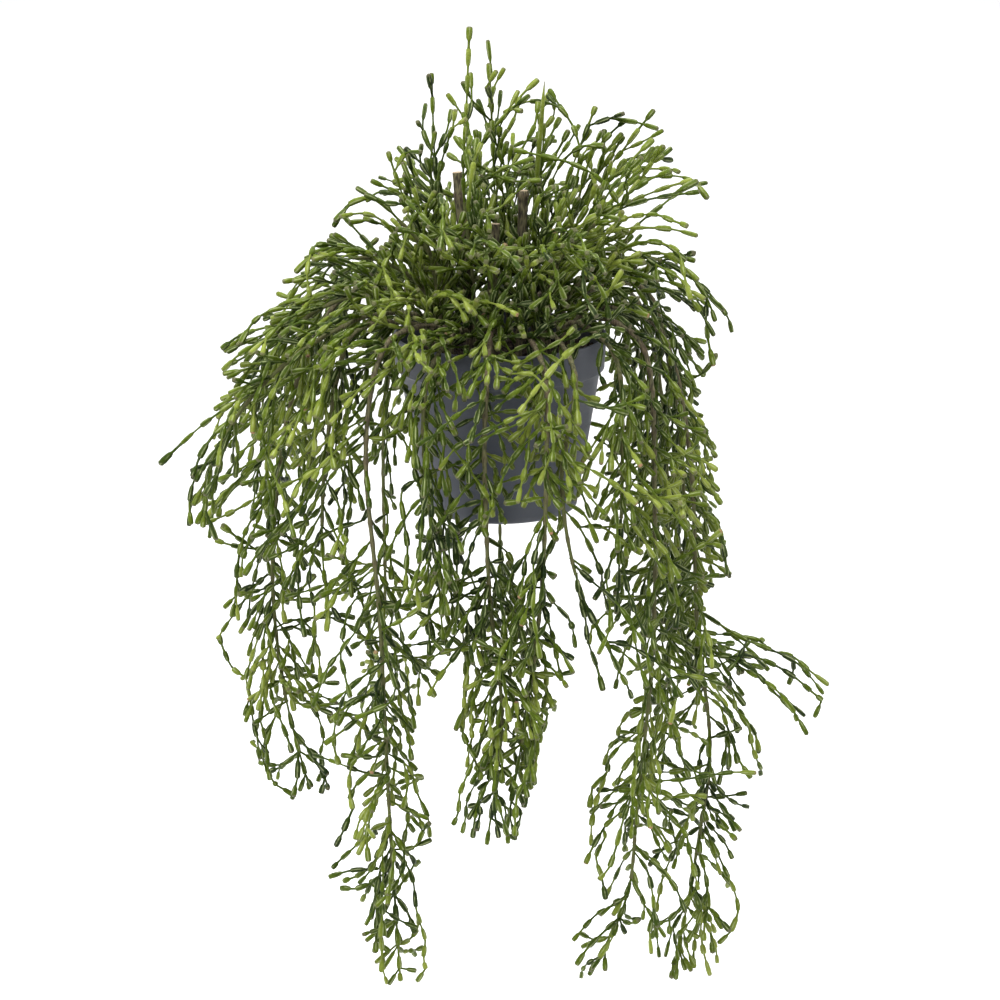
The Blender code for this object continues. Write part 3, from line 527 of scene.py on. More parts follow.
def beyond_outline(spot: Array) -> bool:
    """Whether a place lies outside the plant's outline, as seen from VIEW_PLACE."""
    sight = in_sight(spot)
    ones, others = OUTLINE, np.roll(OUTLINE, -1, axis=0)
    crossed = (ones[:, 1] > sight[2]) != (others[:, 1] > sight[2])
    ones, others = ones[crossed], others[crossed]
    share = (sight[2] - ones[:, 1]) / (others[:, 1] - ones[:, 1])
    right = sight[0] < ones[:, 0] + share * (others[:, 0] - ones[:, 0])
    return np.count_nonzero(right) % 2 == 0


def turned(direction: Array, draw: random.Random, angle: float) -> Array:
    """The direction leaned by an angle towards a random side."""
    side = unit(np.cross(direction, strewn(draw, 1)))
    return unit(direction * math.cos(angle) + side * math.sin(angle))


def forked(direction: Array, draw: random.Random, spread: float) -> tuple[Array, Array]:
    """The two directions of a fork, each leaned by an angle to its own side."""
    side = turned(direction, draw, spread)
    return unit(2 * math.cos(spread) * direction - side), side


def growing_towards(tangent: Array, place: Array) -> Array:
    """Where the twigs of an axis turn: up in the crown, down along a tail, a bit outwards."""
    outward = unit(np.array([place[0], place[1], HAIR]))
    lift = (GOAL_CLIMB if tangent[2] > 0 else GOAL_FALL) * tangent[2]
    lift -= GOAL_LEVEL * (1.0 - abs(tangent[2]))
    return unit(GOAL_ALONG * tangent + GOAL_OUTWARD * outward + np.array([0.0, 0.0, lift]))


def leaning_from(tangent: Array, turn: float, lean: float) -> Array:
    """The direction that leaves an axis at an angle, turned round it."""
    across = unit(np.cross(tangent, ASKEW))
    other = np.cross(tangent, across)
    around = across * math.cos(turn) + other * math.sin(turn)
    return unit(tangent * math.cos(lean) + around * math.sin(lean))


def spread_feet(feet: Sequence[Array]) -> Array:
    """The feet on the soil, pushed apart until none is too near another."""
    spots = np.array(feet, float)
    for _ in range(FEET_ROUNDS):
        apart = spots[:, None] - spots[None]
        gaps = np.linalg.norm(apart, axis=2) + np.eye(len(spots))
        push = np.clip(HOLE_SPACING - gaps, 0.0, None)
        spots += FEET_PUSH * np.einsum("ij,ijk->ik", push / gaps, apart)
        radii = np.linalg.norm(spots, axis=1)
        spots *= np.minimum(1.0, HOLES_WITHIN / np.maximum(radii, SPECK))[:, None]
    return spots


def spread_axes(paths: Sequence[Array]) -> list[Array]:
    """The axes bent clear of each other and of the pot's rim."""
    owner = np.concatenate([np.full(len(path), n) for n, path in enumerate(paths)])
    fixed = np.concatenate([np.arange(len(path)) == 0 for path in paths])
    spots = np.concatenate(paths)
    above_rim = POT_HEIGHT + KEEP_OUT + WOOD_FOOT_RADIUS
    for _ in range(AXIS_ROUNDS):
        squares = (spots**2).sum(axis=1)
        near = squares[:, None] + squares[None] - 2 * spots @ spots.T < AXIS_SPACING**2
        ones, others = np.nonzero(near & (owner[:, None] != owner[None]))
        apart = spots[ones] - spots[others]
        gaps = np.linalg.norm(apart, axis=1)[:, None] + SPECK
        move = np.zeros_like(spots)
        np.add.at(move, ones, AXIS_PUSH * (AXIS_SPACING - gaps) / gaps * apart)
        over_rim = np.abs(np.hypot(spots[:, 0], spots[:, 1]) - RIM_RADIUS) < RIM_BAND
        too_low = np.clip(above_rim - spots[:, 2], 0, None)
        move[:, 2] += np.where(over_rim & (too_low < RIM_DIP), AXIS_PUSH * too_low, 0.0)
        spots += np.where(fixed[:, None], 0.0, move)
    return [spots[owner == n] for n in range(len(paths))]


@dataclass
class Chain:
    """Segments in a row, and the joints between them.

    pointed is for the young shoot, grows_on for a row that a finer twig carries on, and rank
    is how many joints out it starts.
    """

    joints: list[Array]
    pointed: bool = False
    grows_on: bool = False
    rank: int = 0


@dataclass
class Bud:
    """Where a twig starts.

    owner is the number of its stem, goal the direction it turns to, count the most segments
    that it has, and bearer the chain that it carries on from, if it does.
    """

    owner: int
    foot: Array
    heading: Array
    goal: Array
    count: int
    bearer: Chain | None = None


@dataclass
class Stem:
    """One stem as planned: its foot in the soil, its whole path, the woody axis along it, the
    coarser axis of the solids, and its chains of segments."""

    name: str
    foot: Array
    path: Array
    axis: Array
    wood: Array
    chains: list[Chain] = field(default_factory=list)

    @property
    def habit(self) -> Habit:
        """How this stem grows, by its name."""
        if self.name.startswith("crown"):
            return Habit.CROWN
        return Habit.TAIL if self.name.endswith("tail") else Habit.ARCH


class Space:
    """The straight pieces placed so far, each with its stem and radius."""

    PIECE = np.dtype([("start", float, 3), ("end", float, 3), ("radius", float), ("owner", int)])

    def __init__(self) -> None:
        """Starts empty, with room for MOST_PIECES."""
        self.room = np.zeros(MOST_PIECES, self.PIECE)
        self.count = 0

    @property
    def placed(self) -> Array:
        """The pieces placed so far."""
        return self.room[: self.count]

    def add(self, start: Array, end: Array, radius: float, owner: int) -> None:
        """Takes in one straight piece of a stem."""
        self.room[self.count] = (start, end, radius, owner)
        self.count += 1

    def add_run(self, points: Sequence[Array], radius: float, owner: int) -> None:
        """Takes in the straight pieces between a stem's points."""
        for start, end in zip(points, points[1:]):
            self.add(start, end, radius, owner)

    def blocked(self, start: Array, end: Array, owner: int) -> bool:
        """Whether a segment of the solids would pass the outline or meet the pot or a stem."""
        along = start + (end - start) * np.linspace(0.0, 1.0, PROBES)[:, None]
        low = (along[:, 2] < POT_HEIGHT + KEEP_OUT) & (along[:, 2] > -KEEP_OUT_BELOW)
        if np.any(low & (np.hypot(along[:, 0], along[:, 1]) < RIM_RADIUS + KEEP_OUT)):
            return True
        if beyond_outline(end):
            return True
        placed = self.placed
        apart = (placed["start"] + placed["end"]) / 2 - (start + end) / 2
        near = np.linalg.norm(apart, axis=1) < NEARBY
        others = placed[near & (placed["owner"] != owner)]
        clear = distances(start, end, others["start"], others["end"])
        if np.any(clear < others["radius"] + CLUB_RADIUS + CLEARANCE):
            return True
        # A twig starts on a piece of its own stem, so only its outer half is held clear of it
        own = placed[near & (placed["owner"] == owner)]
        clear = distances(start + (end - start) * 0.5, end, own["start"], own["end"])
        return bool(np.any(clear < OWN_CLEARANCE * (own["radius"] + CLUB_RADIUS)))

    def crowded(self, start: Array, end: Array) -> bool:
        """Whether a finer segment would pass the outline, or meet the pot, soil or a piece."""
        along = start + (end - start) * np.linspace(0.0, 1.0, FILL_PROBES)[1:, None]
        out = np.hypot(along[:, 0], along[:, 1])
        roof = np.where(out > WELL_RADIUS, POT_HEIGHT, SOIL_TOP + SOIL_MOUND) + POT_CLEAR
        inside = (out < RIM_RADIUS + POT_CLEAR) & (along[:, 2] < roof)
        if np.any(inside & (along[:, 2] > -POT_CLEAR)):
            return True
        middle = (start + end) / 2
        if any(beyond_outline(spot) or in_opening(spot) for spot in (middle, end)):
            return True
        low, high = np.array(CAD_BOX)
        if np.any(end < low - FILL_MARGIN) or np.any(end > high + FILL_MARGIN):
            return True
        placed = self.placed
        apart = (placed["start"] + placed["end"]) / 2 - middle
        close = placed[(np.abs(apart) < FILL_LONGEST).all(axis=1)]
        clear = distances(start + (end - start) * 0.5, end, close["start"], close["end"])
        return bool(np.any(clear < FILL_CLEAR))


class Planner:
    """Works out every stem: first as the solids have it, then with its finer twigs."""

    def __init__(self) -> None:
        """Starts with nothing placed, and with the random numbers of the solids."""
        self.stems: list[Stem] = []
        self.stalks: list[Stem] = []
        self.space = Space()
        self.draw = random.Random(SEED)

    def plan(self) -> Self:
        """The whole plant.

        Returns:
            This planner, with its stems and stalks filled in.
        """
        self.lay_axes()
        self.add_young_shoot()
        self.add_twigs()
        for chain in [chain for stem in self.stems for chain in stem.chains if chain.pointed]:
            chain.joints[-1] = np.array(SHOOT_TIP)
        self.draw = random.Random(FILL_SEED)
        self.lay_strands()
        self.fill()
        return self

    def lay_axes(self) -> None:
        """Lays each stem's woody axis and green end, and the cut stalks."""
        names = list(STEMS)
        feet = [np.array(points[0][:2]) * FEET_DRAWN_IN for points, _ in STEMS.values()]
        feet += [np.array(foot) for foot, _ in STALKS.values()]
        feet = spread_feet(feet)
        above, up = SOIL_TOP + STRAIGHT_ABOVE_SOIL, np.array([0.0, 0.0, 1.0])
        routes = [points for points, _ in STEMS.values()] + [[top] for _, top in STALKS.values()]
        paths = spread_axes([smooth_path([(*foot, above), *route], up)
                             for foot, route in zip(feet, routes)])
        for owner, name in enumerate(names):
            path = paths[owner]
            woody = len(path) - round(STEMS[name][1] / PATH_STEP)
            wood = resample(path[:woody], WOOD_STEP)
            self.space.add_run(wood, WOOD_FOOT_RADIUS, owner)
            ends = [path[woody - 1:]]
            for height, points in SIDE_AXES.get(name, []):
                half = len(wood) // 2
                at = int(np.argmin(np.abs(wood[half:, 2] - height))) + half
                side = unit(np.array(points[0]) - wood[at])
                ends.append(smooth_path([wood[at], *points], side))
            chains = [Chain(self.lay_end_chain(owner, end), rank=min(n, 1))
                      for n, end in enumerate(ends)]
            self.stems.append(Stem(name, feet[owner], path, path[:woody], wood, chains))
        for owner, name in enumerate(STALKS, start=len(names)):
            path = paths[owner]
            self.space.add_run(path, STALK_RADIUS, owner)
            self.stalks.append(Stem(name, feet[owner], path, path, path))

    def lay_end_chain(self, owner: int, path: Array) -> list[Array]:
        """The joints of an axis's green end, at segment length along its path."""
        joints = joints_along(path, self.draw, SEGMENTS, END_OVER * SEGMENTS[0])
        self.space.add_run(joints, CLUB_RADIUS, owner)
        joints[0] = joints[0] - unit(joints[1] - joints[0]) * END_SINK
        return joints

    def add_young_shoot(self) -> None:
        """Sets the long pointed shoot on the stem that bears it."""
        bearer, height, tip = YOUNG_SHOOT
        owner = [stem.name for stem in self.stems].index(bearer)
        stem = self.stems[owner]
        foot = stem.path[int(np.argmin(np.abs(stem.path[:, 2] - height)))]
        self.space.add(foot, np.array(tip), CLUB_RADIUS, owner)
        stem.chains.append(Chain([foot, np.array(tip)], pointed=True))

    def add_twigs(self) -> None:
        """The solids' own twigs, at whorls along each axis and at the joints of green ends."""
        draw, spots = self.draw, []
        for owner, stem in enumerate(self.stems):
            lengths = lengths_along(stem.wood)
            growth = GROWTH[stem.habit]
            at, turn = growth.whorl / 2, draw.uniform(0, math.tau)
            while at < lengths[-1]:
                n = int(np.searchsorted(lengths, at))
                if at > FIRST_WHORL_AT:
                    spots.append((at, owner, spot_at(stem.wood, lengths, at),
                                  unit(stem.wood[n] - stem.wood[n - 1]), turn, growth.segments))
                turn += GOLDEN_ANGLE
                at += growth.whorl
            for chain in stem.chains:
                for before, joint in list(zip(chain.joints, chain.joints[1:]))[:-1]:
                    along = unit(joint - before)
                    if not chain.pointed and draw.random() < growth.end_chance:
                        spots.append((lengths[-1] + END_TWIGS_LATER, owner,
                                      joint - along * ROOT_SINK, along, turn,
                                      END_TWIG_SEGMENTS))
                    turn += GOLDEN_ANGLE
        for _, owner, foot, tangent, turn, count in sorted(spots, key=lambda spot: spot[0]):
            goal = growing_towards(tangent, foot)
            heading = leaning_from(tangent, turn, math.radians(draw.uniform(*TWIG_LEAN)))
            chains = self.grow_twig(Bud(owner, foot, heading, goal, count))
            self.stems[owner].chains.extend(chains)

    def grow_twig(self, bud: Bud) -> list[Chain]:
        """One twig of the solids.

        Args:
            bud: Where it starts.

        Returns:
            Its chains: one for the twig and one for each fork.
        """
        draw = self.draw
        chains: list[Chain] = []
        tips: list[tuple[Array, Array, Chain | None]] = [(bud.foot, bud.heading, None)]
        left = bud.count
        while tips and left > 0:
            joint, heading, chain = tips.pop(0)
            length = draw.uniform(*SEGMENTS)
            for attempt in range(TRIES):
                lean = math.radians(BEND + BEND_MORE * attempt)
                bent = unit(turned(heading, draw, lean * draw.random()) + PULL * bud.goal)
                end = joint + bent * length
                if not self.space.blocked(joint, end, bud.owner):
                    break
            else:
                continue
            if chain is None:
                chain = Chain([joint - bent * (ROOT_SINK if chains else 0.0)], rank=1)
                chains.append(chain)
            chain.joints.append(end)
            self.space.add(joint, end, CLUB_RADIUS, bud.owner)
            left -= 1
            if draw.random() < FORK_CHANCE:
                onward, side = forked(bent, draw, FORK_SPREAD)
                tips += [(end, onward, chain), (end, side, None)]
            else:
                tips.append((end, bent, chain))
        return chains

    def lay_strands(self) -> None:
        """Lays the finer strands, with their joints a little off the line."""
        for owner, stem in enumerate(self.stems):
            segments = GROWTH[stem.habit].lengths
            for depth, spots in STRANDS.get(stem.name, []):
                points = np.array([(x, depth, z) for x, z in spots])
                foot = stem.path[np.argmin(np.linalg.norm(stem.path - points[0], axis=1))]
                line = smooth_path([foot, *points[1:]], unit(points[1] - foot))
                joints = joints_along(line, self.draw, segments, STRAND_OVER, STRAND_WANDER)
                self.space.add_run(joints, CLUB_RADIUS, owner)
                stem.chains.append(Chain(joints, rank=1))

    def fill(self) -> None:
        """The finer twigs, from the wood, from green joints and from the tips of twigs."""
        buds = list(self.fill_buds())
        self.draw.shuffle(buds)
        for bud in buds:
            chains = self.grow_fine(bud)
            if chains and bud.bearer is not None:
                bud.bearer.grows_on = True
            self.stems[bud.owner].chains.extend(chains)

    def fill_buds(self) -> Iterator[Bud]:
        """Where finer twigs start: all round the wood, at green joints and at twigs' tips.

        Yields:
            The buds.
        """
        draw = self.draw
        for owner, stem in enumerate(self.stems):
            growth = GROWTH[stem.habit]
            lengths = lengths_along(stem.axis)
            at, turn = growth.fill_whorl, draw.uniform(0, math.tau)
            while at < lengths[-1] + FOOT_SCATTER:
                for _ in range(growth.fill_twigs):
                    here = min(at + draw.uniform(-FOOT_SCATTER, FOOT_SCATTER), lengths[-1])
                    n = min(max(1, int(np.searchsorted(lengths, here))), len(lengths) - 1)
                    foot = spot_at(stem.axis, lengths, here)
                    tangent = unit(stem.axis[n] - stem.axis[n - 1])
                    turn += GOLDEN_ANGLE
                    heading = leaning_from(tangent, turn,
                                           math.radians(draw.uniform(*growth.lean)))
                    yield Bud(owner, foot, heading, growing_towards(tangent, foot),
                              draw.randint(*growth.fill_segments))
                spread = THINNER.get(stem.name, 1.0) * draw.uniform(*WHORL_VARIES)
                if stem.habit is Habit.TAIL:
                    spread *= HIGH_TAIL if foot[2] > 0.0 else LOW_TAIL
                at += growth.fill_whorl * spread
            for chain in [chain for chain in stem.chains if not chain.pointed]:
                chance = TWIG_JOINT_CHANCE if chain.rank else END_JOINT_CHANCE
                twigs = 1 if chain.rank else growth.end_twigs
                for n, (before, joint) in enumerate(zip(chain.joints, chain.joints[1:]), 2):
                    along = unit(joint - before)
                    goal = growing_towards(along, joint)
                    last = n == len(chain.joints)
                    if last and chain.rank and draw.random() < CARRY_ON_CHANCE:
                        yield Bud(owner, joint, along, goal,
                                  draw.randint(*CARRY_ON_SEGMENTS), chain)
                    for _ in range(0 if last else twigs):
                        turn += GOLDEN_ANGLE
                        heading = leaning_from(along, turn,
                                               math.radians(draw.uniform(*JOINT_LEAN)))
                        if draw.random() < chance:
                            yield Bud(owner, joint, heading, goal,
                                      draw.randint(*JOINT_SEGMENTS))

    def grow_fine(self, bud: Bud) -> list[Chain]:
        """One finer twig, which sags a little more with each of its segments.

        Args:
            bud: Where it starts.

        Returns:
            Its chains: one for the twig and one for each fork.
        """
        draw, growth = self.draw, GROWTH[self.stems[bud.owner].habit]
        chains: list[Chain] = []
        curl = strewn(draw, growth.curl)
        tips: list[tuple[Array, Array, Chain | None, int]] = [(bud.foot, bud.heading, None, 0)]
        left = bud.count
        while tips and left > 0:
            joint, heading, chain, rank = tips.pop(0)
            length = draw.uniform(*growth.lengths)
            drift = growth.pull * bud.goal + curl + np.array([0.0, 0.0, -growth.sag * rank])
            for attempt in range(FILL_TRIES):
                lean = math.radians(growth.bend + FILL_BEND_MORE * attempt)
                bent = unit(turned(heading, draw, lean * draw.random()) + drift)
                end = joint + bent * length
                if not self.space.crowded(joint, end):
                    break
            else:
                continue
            if draw.random() < thinning_at(end):
                continue
            if chain is None:
                chain = Chain([joint - bent * ROOT_SINK], rank=rank + 1)
                chains.append(chain)
            chain.joints.append(end)
            self.space.add(joint, end, CLUB_RADIUS, bud.owner)
            left -= 1
            if draw.random() < FILL_FORK_CHANCE:
                spread = math.radians(draw.uniform(*FILL_FORK_SPREAD))
                onward, side = forked(bent, draw, spread)
                tips += [(end, onward, chain, rank + 1), (end, side, None, rank + 1)]
            else:
                tips.append((end, bent, chain, rank + 1))
        return chains


class Wire:
    """An output socket that takes part in sums and products of numbers."""

    def __init__(self, graph: "Graph", socket: bpy.types.NodeSocket) -> None:
        """Keeps the socket and the graph that it is in."""
        self.graph, self.socket = graph, socket

    def _math(self, operation: str, first: Any, second: Any) -> "Wire":
        """One Math node on two values."""
        return self.graph.node("ShaderNodeMath", {"operation": operation}, {0: first, 1: second})

    def __add__(self, other: Any) -> "Wire":
        """This plus the other."""
        return self._math("ADD", self, other)

    def __radd__(self, other: Any) -> "Wire":
        """The other plus this."""
        return self._math("ADD", other, self)

    def __sub__(self, other: Any) -> "Wire":
        """This less the other."""
        return self._math("SUBTRACT", self, other)

    def __rsub__(self, other: Any) -> "Wire":
        """The other less this."""
        return self._math("SUBTRACT", other, self)

    def __mul__(self, other: Any) -> "Wire":
        """This times the other."""
        return self._math("MULTIPLY", self, other)

    def __rmul__(self, other: Any) -> "Wire":
        """The other times this."""
        return self._math("MULTIPLY", other, self)

    def __pow__(self, other: Any) -> "Wire":
        """This to the power of the other."""
        return self._math("POWER", self, other)

    def between(self, low: float, high: float) -> "Wire":
        """0 at low, 1 at high, and smooth from one to the other."""
        return self.graph.node("ShaderNodeMapRange", {"interpolation_type": "SMOOTHSTEP"},
                               {"Value": self, "From Min": low, "From Max": high})

    def beside(self, name: str) -> "Wire":
        """Another output of the same node."""
        return Wire(self.graph, self.socket.node.outputs[name])


class Graph:
    """A node tree that is written as expressions, for a material or for a shape."""

    def __init__(self, tree: bpy.types.NodeTree) -> None:
        """Empties the tree."""
        self.tree = tree
        tree.nodes.clear()

    def node(self, kind: str, settings: Mapping[str, Any] | None = None,
             values: Mapping[str | int, Any] | None = None, out: str | int = 0) -> Wire:
        """Adds one node.

        Args:
            kind: The node's type.
            settings: Its own settings, set first. "stops" are a ramp's positions and
                colours, and "points" a float curve's.
            values: The values or wires of its inputs, by name or by place.
            out: The output to give back, by name or by place.

        Returns:
            The output, as a wire.
        """
        made = self.tree.nodes.new(kind)
        for name, value in (settings or {}).items():
            if name == "stops":
                self._set_stops(made.color_ramp, value)
            elif name == "points":
                self._set_points(made.mapping, value)
            else:
                setattr(made, name, value)
        for key, value in (values or {}).items():
            socket = made.inputs[key] if isinstance(key, int) else self._enabled(made.inputs, key)
            if isinstance(value, Wire):
                self.tree.links.new(value.socket, socket)
            elif value is not None:
                socket.default_value = value
        if not made.outputs:
            return Wire(self, None)
        outlet = self._enabled(made.outputs, out) if isinstance(out, str) else made.outputs[out]
        if not outlet.enabled:
            outlet = next(socket for socket in made.outputs if socket.enabled)
        return Wire(self, outlet)

    @staticmethod
    def _enabled(sockets: Any, name: str) -> bpy.types.NodeSocket:
        """The socket of this name that the node's settings leave in use."""
        return next(socket for socket in sockets if socket.name == name and socket.enabled)

    @staticmethod
    def _set_stops(ramp: bpy.types.ColorRamp, stops: Sequence[tuple[float, Colour]]) -> None:
        """Gives a ramp its stops."""
        while len(ramp.elements) < len(stops):
            ramp.elements.new(1.0)
        for element, (position, colour) in zip(ramp.elements, stops):
            element.position = position
            element.color = (*colour, 1.0)

    @staticmethod
    def _set_points(mapping: bpy.types.CurveMapping, points: Sequence[tuple[float, float]]
                    ) -> None:
        """Gives a float curve its points."""
        curve = mapping.curves[0]
        while len(curve.points) < len(points):
            curve.points.new(1.0, 1.0)
        for point, place in zip(curve.points, points):
            point.location = place
            point.handle_type = "AUTO_CLAMPED"
        mapping.update()

    def blend(self, factor: Any, first: Any, second: Any) -> Wire:
        """Two colours mixed."""
        pair = [(*one, 1.0) if isinstance(one, tuple) else one for one in (first, second)]
        return self.node("ShaderNodeMix", {"data_type": "RGBA"},
                         {"Factor": factor, "A": pair[0], "B": pair[1]})

    def noise(self, place: Wire, scale: float, detail: float = 2.0, rise: float = 1.0) -> Wire:
        """Soft noise from 0 to 1, with its scale along Z times a rise."""
        if rise != 1.0:
            place = self.node("ShaderNodeMapping", None,
                              {"Vector": place, "Scale": (1.0, 1.0, rise)})
        return self.node("ShaderNodeTexNoise", None,
                         {"Vector": place, "Scale": scale, "Detail": detail})

    def named(self, name: str) -> Wire:
        """A number that the mesh carries, read by a material."""
        return self.node("ShaderNodeAttribute", {"attribute_name": name}, out="Fac")


@dataclass(frozen=True)
class Finish:
    """A procedural finish. Each kind paints its own colour, roughness and bump.

    depth is the depth of the bump in metres.
    """

    name: str = "finish"
    shine: float = 0.5
    depth: float = 0.0

    def material(self) -> bpy.types.Material:
        """Makes the material.

        Returns:
            The material, with what is even over the surface set on the shader itself.
        """
        material = bpy.data.materials.new(self.name)
        material.use_nodes = True
        graph = Graph(material.node_tree)
        place = graph.node("ShaderNodeTexCoord", out="Object")
        colour, roughness, height = self.paint(graph, place)
        bump = graph.node("ShaderNodeBump", None,
                          {"Strength": 1.0, "Distance": self.depth, "Height": height})
        shader = graph.node("ShaderNodeBsdfPrincipled", None, {
            "Base Color": colour, "Roughness": roughness, "Normal": bump, "Metallic": 0.0,
            "Specular IOR Level": self.shine})
        graph.node("ShaderNodeOutputMaterial", None, {"Surface": shader})
        return material

    def paint(self, graph: Graph, place: Wire) -> tuple[Wire, Wire, Wire]:
        """Writes the finish.

        Args:
            graph: The material's graph.
            place: Object coordinates, in metres.

        Returns:
            Colour, roughness and height of the bump.
        """
        raise NotImplementedError


@dataclass(frozen=True)
class SegmentSkin(Finish):
    """Waxy skin in greens that differ from segment to segment, with pale ribs and dull ends.
    The pale ribs are partly bloom and partly a painted highlight along the ridges.

    The tone, from deep to fresh, is a sum: each by_ field is the share of one of its causes.
    The age share darkens the segments near the axes, partly as older growth and partly as
    painted shade inside the plant.
    """

    name: str = "segment_skin"
    shine: float = 0.10
    depth: float = 0.0005
    deep: Colour = (0.006, 0.015, 0.001)
    dark: Colour = (0.023, 0.042, 0.001)
    green: Colour = (0.065, 0.097, 0.004)
    fresh: Colour = (0.172, 0.208, 0.032)
    # Pale colour of the ribs: partly bloom, partly a painted highlight along the ridges
    rib_highlight: Colour = (0.310, 0.345, 0.165)
    dull_tip: Colour = (0.098, 0.088, 0.055)
    dry_tip: Colour = (0.270, 0.150, 0.085)
    base_tone: float = 0.01
    by_segment: float = 0.55
    by_patch: float = 1.4
    # Darkens the inner segments near the axes: partly older growth, partly painted shade
    by_age_and_depth_shade: float = 0.42
    by_mottle: float = 0.45
    by_spear: float = 0.4
    neck_shade: float = 0.30
    tip_dullness: float = 0.65
    patch_scale: float = 13.0
    # Scale of the noise that breaks the painted rib highlight into patches
    mottle_scale: float = 560.0
    rib_highlight_scale: float = 190.0
    grain_scale: float = 1000.0

    def paint(self, graph: Graph, place: Wire) -> tuple[Wire, Wire, Wire]:
        """Writes the skin; see Finish.paint."""
        along, tint = graph.named("along"), graph.named("tint")
        ridge, ending, age = graph.named("ridge"), graph.named("ending"), graph.named("age")
        patches = graph.noise(place, self.patch_scale, 1.0)
        mottle = graph.noise(place, self.mottle_scale, 3.0)
        # The age share paints the segments near the axes darker, partly as shade inside the plant
        tone = (tint * self.by_segment + (patches - 0.5) * self.by_patch + age * self.by_age_and_depth_shade
                + (mottle - 0.5) * self.by_mottle)
        tone = tone + graph.named("spear") * self.by_spear + self.base_tone
        body = graph.node("ShaderNodeValToRGB", {"stops": [
            (0.02, self.deep), (0.28, self.dark), (0.58, self.green), (0.98, self.fresh)]},
            {"Fac": tone}, out="Color")
        club = along.between(0.46, 0.62)
        body = graph.blend((1 - club) * self.neck_shade, body, self.dark)
        # Pale ribs, partly bloom and partly a painted highlight on the ridges, in noisy patches
        # and stronger on the clubs
        paler = graph.noise(place, self.rib_highlight_scale).between(0.36, 0.62)
        body = graph.blend((ridge ** 3) * paler * (0.25 + club * 0.60), body, self.rib_highlight)
        tip = along.between(0.93, 0.99) * ending
        body = graph.blend(tip * self.tip_dullness, body, self.dull_tip)
        body = graph.blend(tip * tint.between(0.970, 0.985), body, self.dry_tip)
        height = graph.noise(place, self.grain_scale) * 0.6 + mottle * 0.4
        return body, 0.40 + mottle * 0.24, height


@dataclass(frozen=True)
class Bark(Finish):
    """Woody skin with lengthwise streaks, reddish stretches and green ends."""

    name: str = "bark"
    shine: float = 0.25
    depth: float = 0.0006
    dark: Colour = (0.030, 0.025, 0.018)
    grey: Colour = (0.150, 0.135, 0.072)
    red: Colour = (0.092, 0.056, 0.040)
    green: Colour = (0.075, 0.092, 0.022)
    end: Colour = (0.330, 0.255, 0.170)
    patch_scale: float = 34.0
    streak_scale: float = 900.0
    streak_rise: float = 0.22

    def paint(self, graph: Graph, place: Wire) -> tuple[Wire, Wire, Wire]:
        """Writes the bark; see Finish.paint."""
        along, knot, cut = graph.named("along"), graph.named("knot"), graph.named("cut")
        patches = graph.noise(place, self.patch_scale)
        streaks = graph.noise(place, self.streak_scale, 4.0, self.streak_rise)
        body = graph.blend(streaks.between(0.32, 0.66), self.dark, self.grey)
        body = graph.blend(patches.between(0.54, 0.68) * 0.40, body, self.red)
        body = graph.blend(along.between(0.12, 0.85) * 0.80, body, self.green)
        body = graph.blend(knot * 0.35, body, self.red)
        body = graph.blend(cut, body, self.end)
        return body, 0.66 + streaks * 0.22, streaks


@dataclass(frozen=True)
class PotPlastic(Finish):
    """Dark slate moulded plastic, satin, with faint turning marks and dust."""

    name: str = "pot_plastic"
    depth: float = 0.00008
    slate: Colour = (0.037, 0.043, 0.059)
    paler: Colour = (0.066, 0.074, 0.098)
    cloud_scale: float = 22.0
    speck_scale: float = 1400.0
    mark_scale: float = 120.0
    mark_rise: float = 7.0

    def paint(self, graph: Graph, place: Wire) -> tuple[Wire, Wire, Wire]:
        """Writes the plastic; see Finish.paint."""
        cloud = graph.noise(place, self.cloud_scale, 3.0)
        specks = graph.noise(place, self.speck_scale)
        marks = graph.noise(place, self.mark_scale, 3.0, self.mark_rise)
        body = graph.blend(cloud.between(0.35, 0.70) * 0.35, self.slate, self.paler)
        body = graph.blend(specks.between(0.66, 0.74) * 0.30, body, self.paler)
        body = graph.blend(graph.named("edge") * 0.6, body, self.paler)
        return body, 0.36 + cloud * 0.12 + marks * 0.08, specks * 0.6 + marks * 0.4


@dataclass(frozen=True)
class PottingSoil(Finish):
    """Dark peat with paler fibres and crumbs."""

    name: str = "potting_soil"
    shine: float = 0.15
    depth: float = 0.0009
    peat: Colour = (0.012, 0.009, 0.007)
    crumb: Colour = (0.052, 0.036, 0.026)
    fibre: Colour = (0.150, 0.105, 0.065)
    coarse_scale: float = 260.0
    fine_scale: float = 1300.0

    def paint(self, graph: Graph, place: Wire) -> tuple[Wire, Wire, Wire]:
        """Writes the soil; see Finish.paint."""
        coarse = graph.noise(place, self.coarse_scale, 4.0)
        fine = graph.noise(place, self.fine_scale, 3.0)
        body = graph.blend(coarse.between(0.40, 0.70) * 0.7, self.peat, self.crumb)
        body = graph.blend(graph.named("tint").between(0.75, 1.0) * 0.6, body, self.fibre)
        body = graph.blend(fine.between(0.62, 0.75) * 0.4, body, self.fibre)
        return body, 0.84 + fine * 0.12, coarse * 0.6 + fine * 0.4


@dataclass(frozen=True)
class PaleGround(Finish):
    """The plain pale floor and backdrop of the studio."""

    name: str = "pale_ground"
    shine: float = 0.1
    tone: Colour = (0.95, 0.95, 0.95)
    shade: Colour = (0.94, 0.94, 0.94)
    cloud_scale: float = 3.0

    def paint(self, graph: Graph, place: Wire) -> tuple[Wire, Wire, Wire]:
        """Writes the ground; see Finish.paint."""
        cloud = graph.noise(place, self.cloud_scale, 1.0)
        return graph.blend(cloud, self.tone, self.shade), cloud * 0.1 + 0.8, cloud


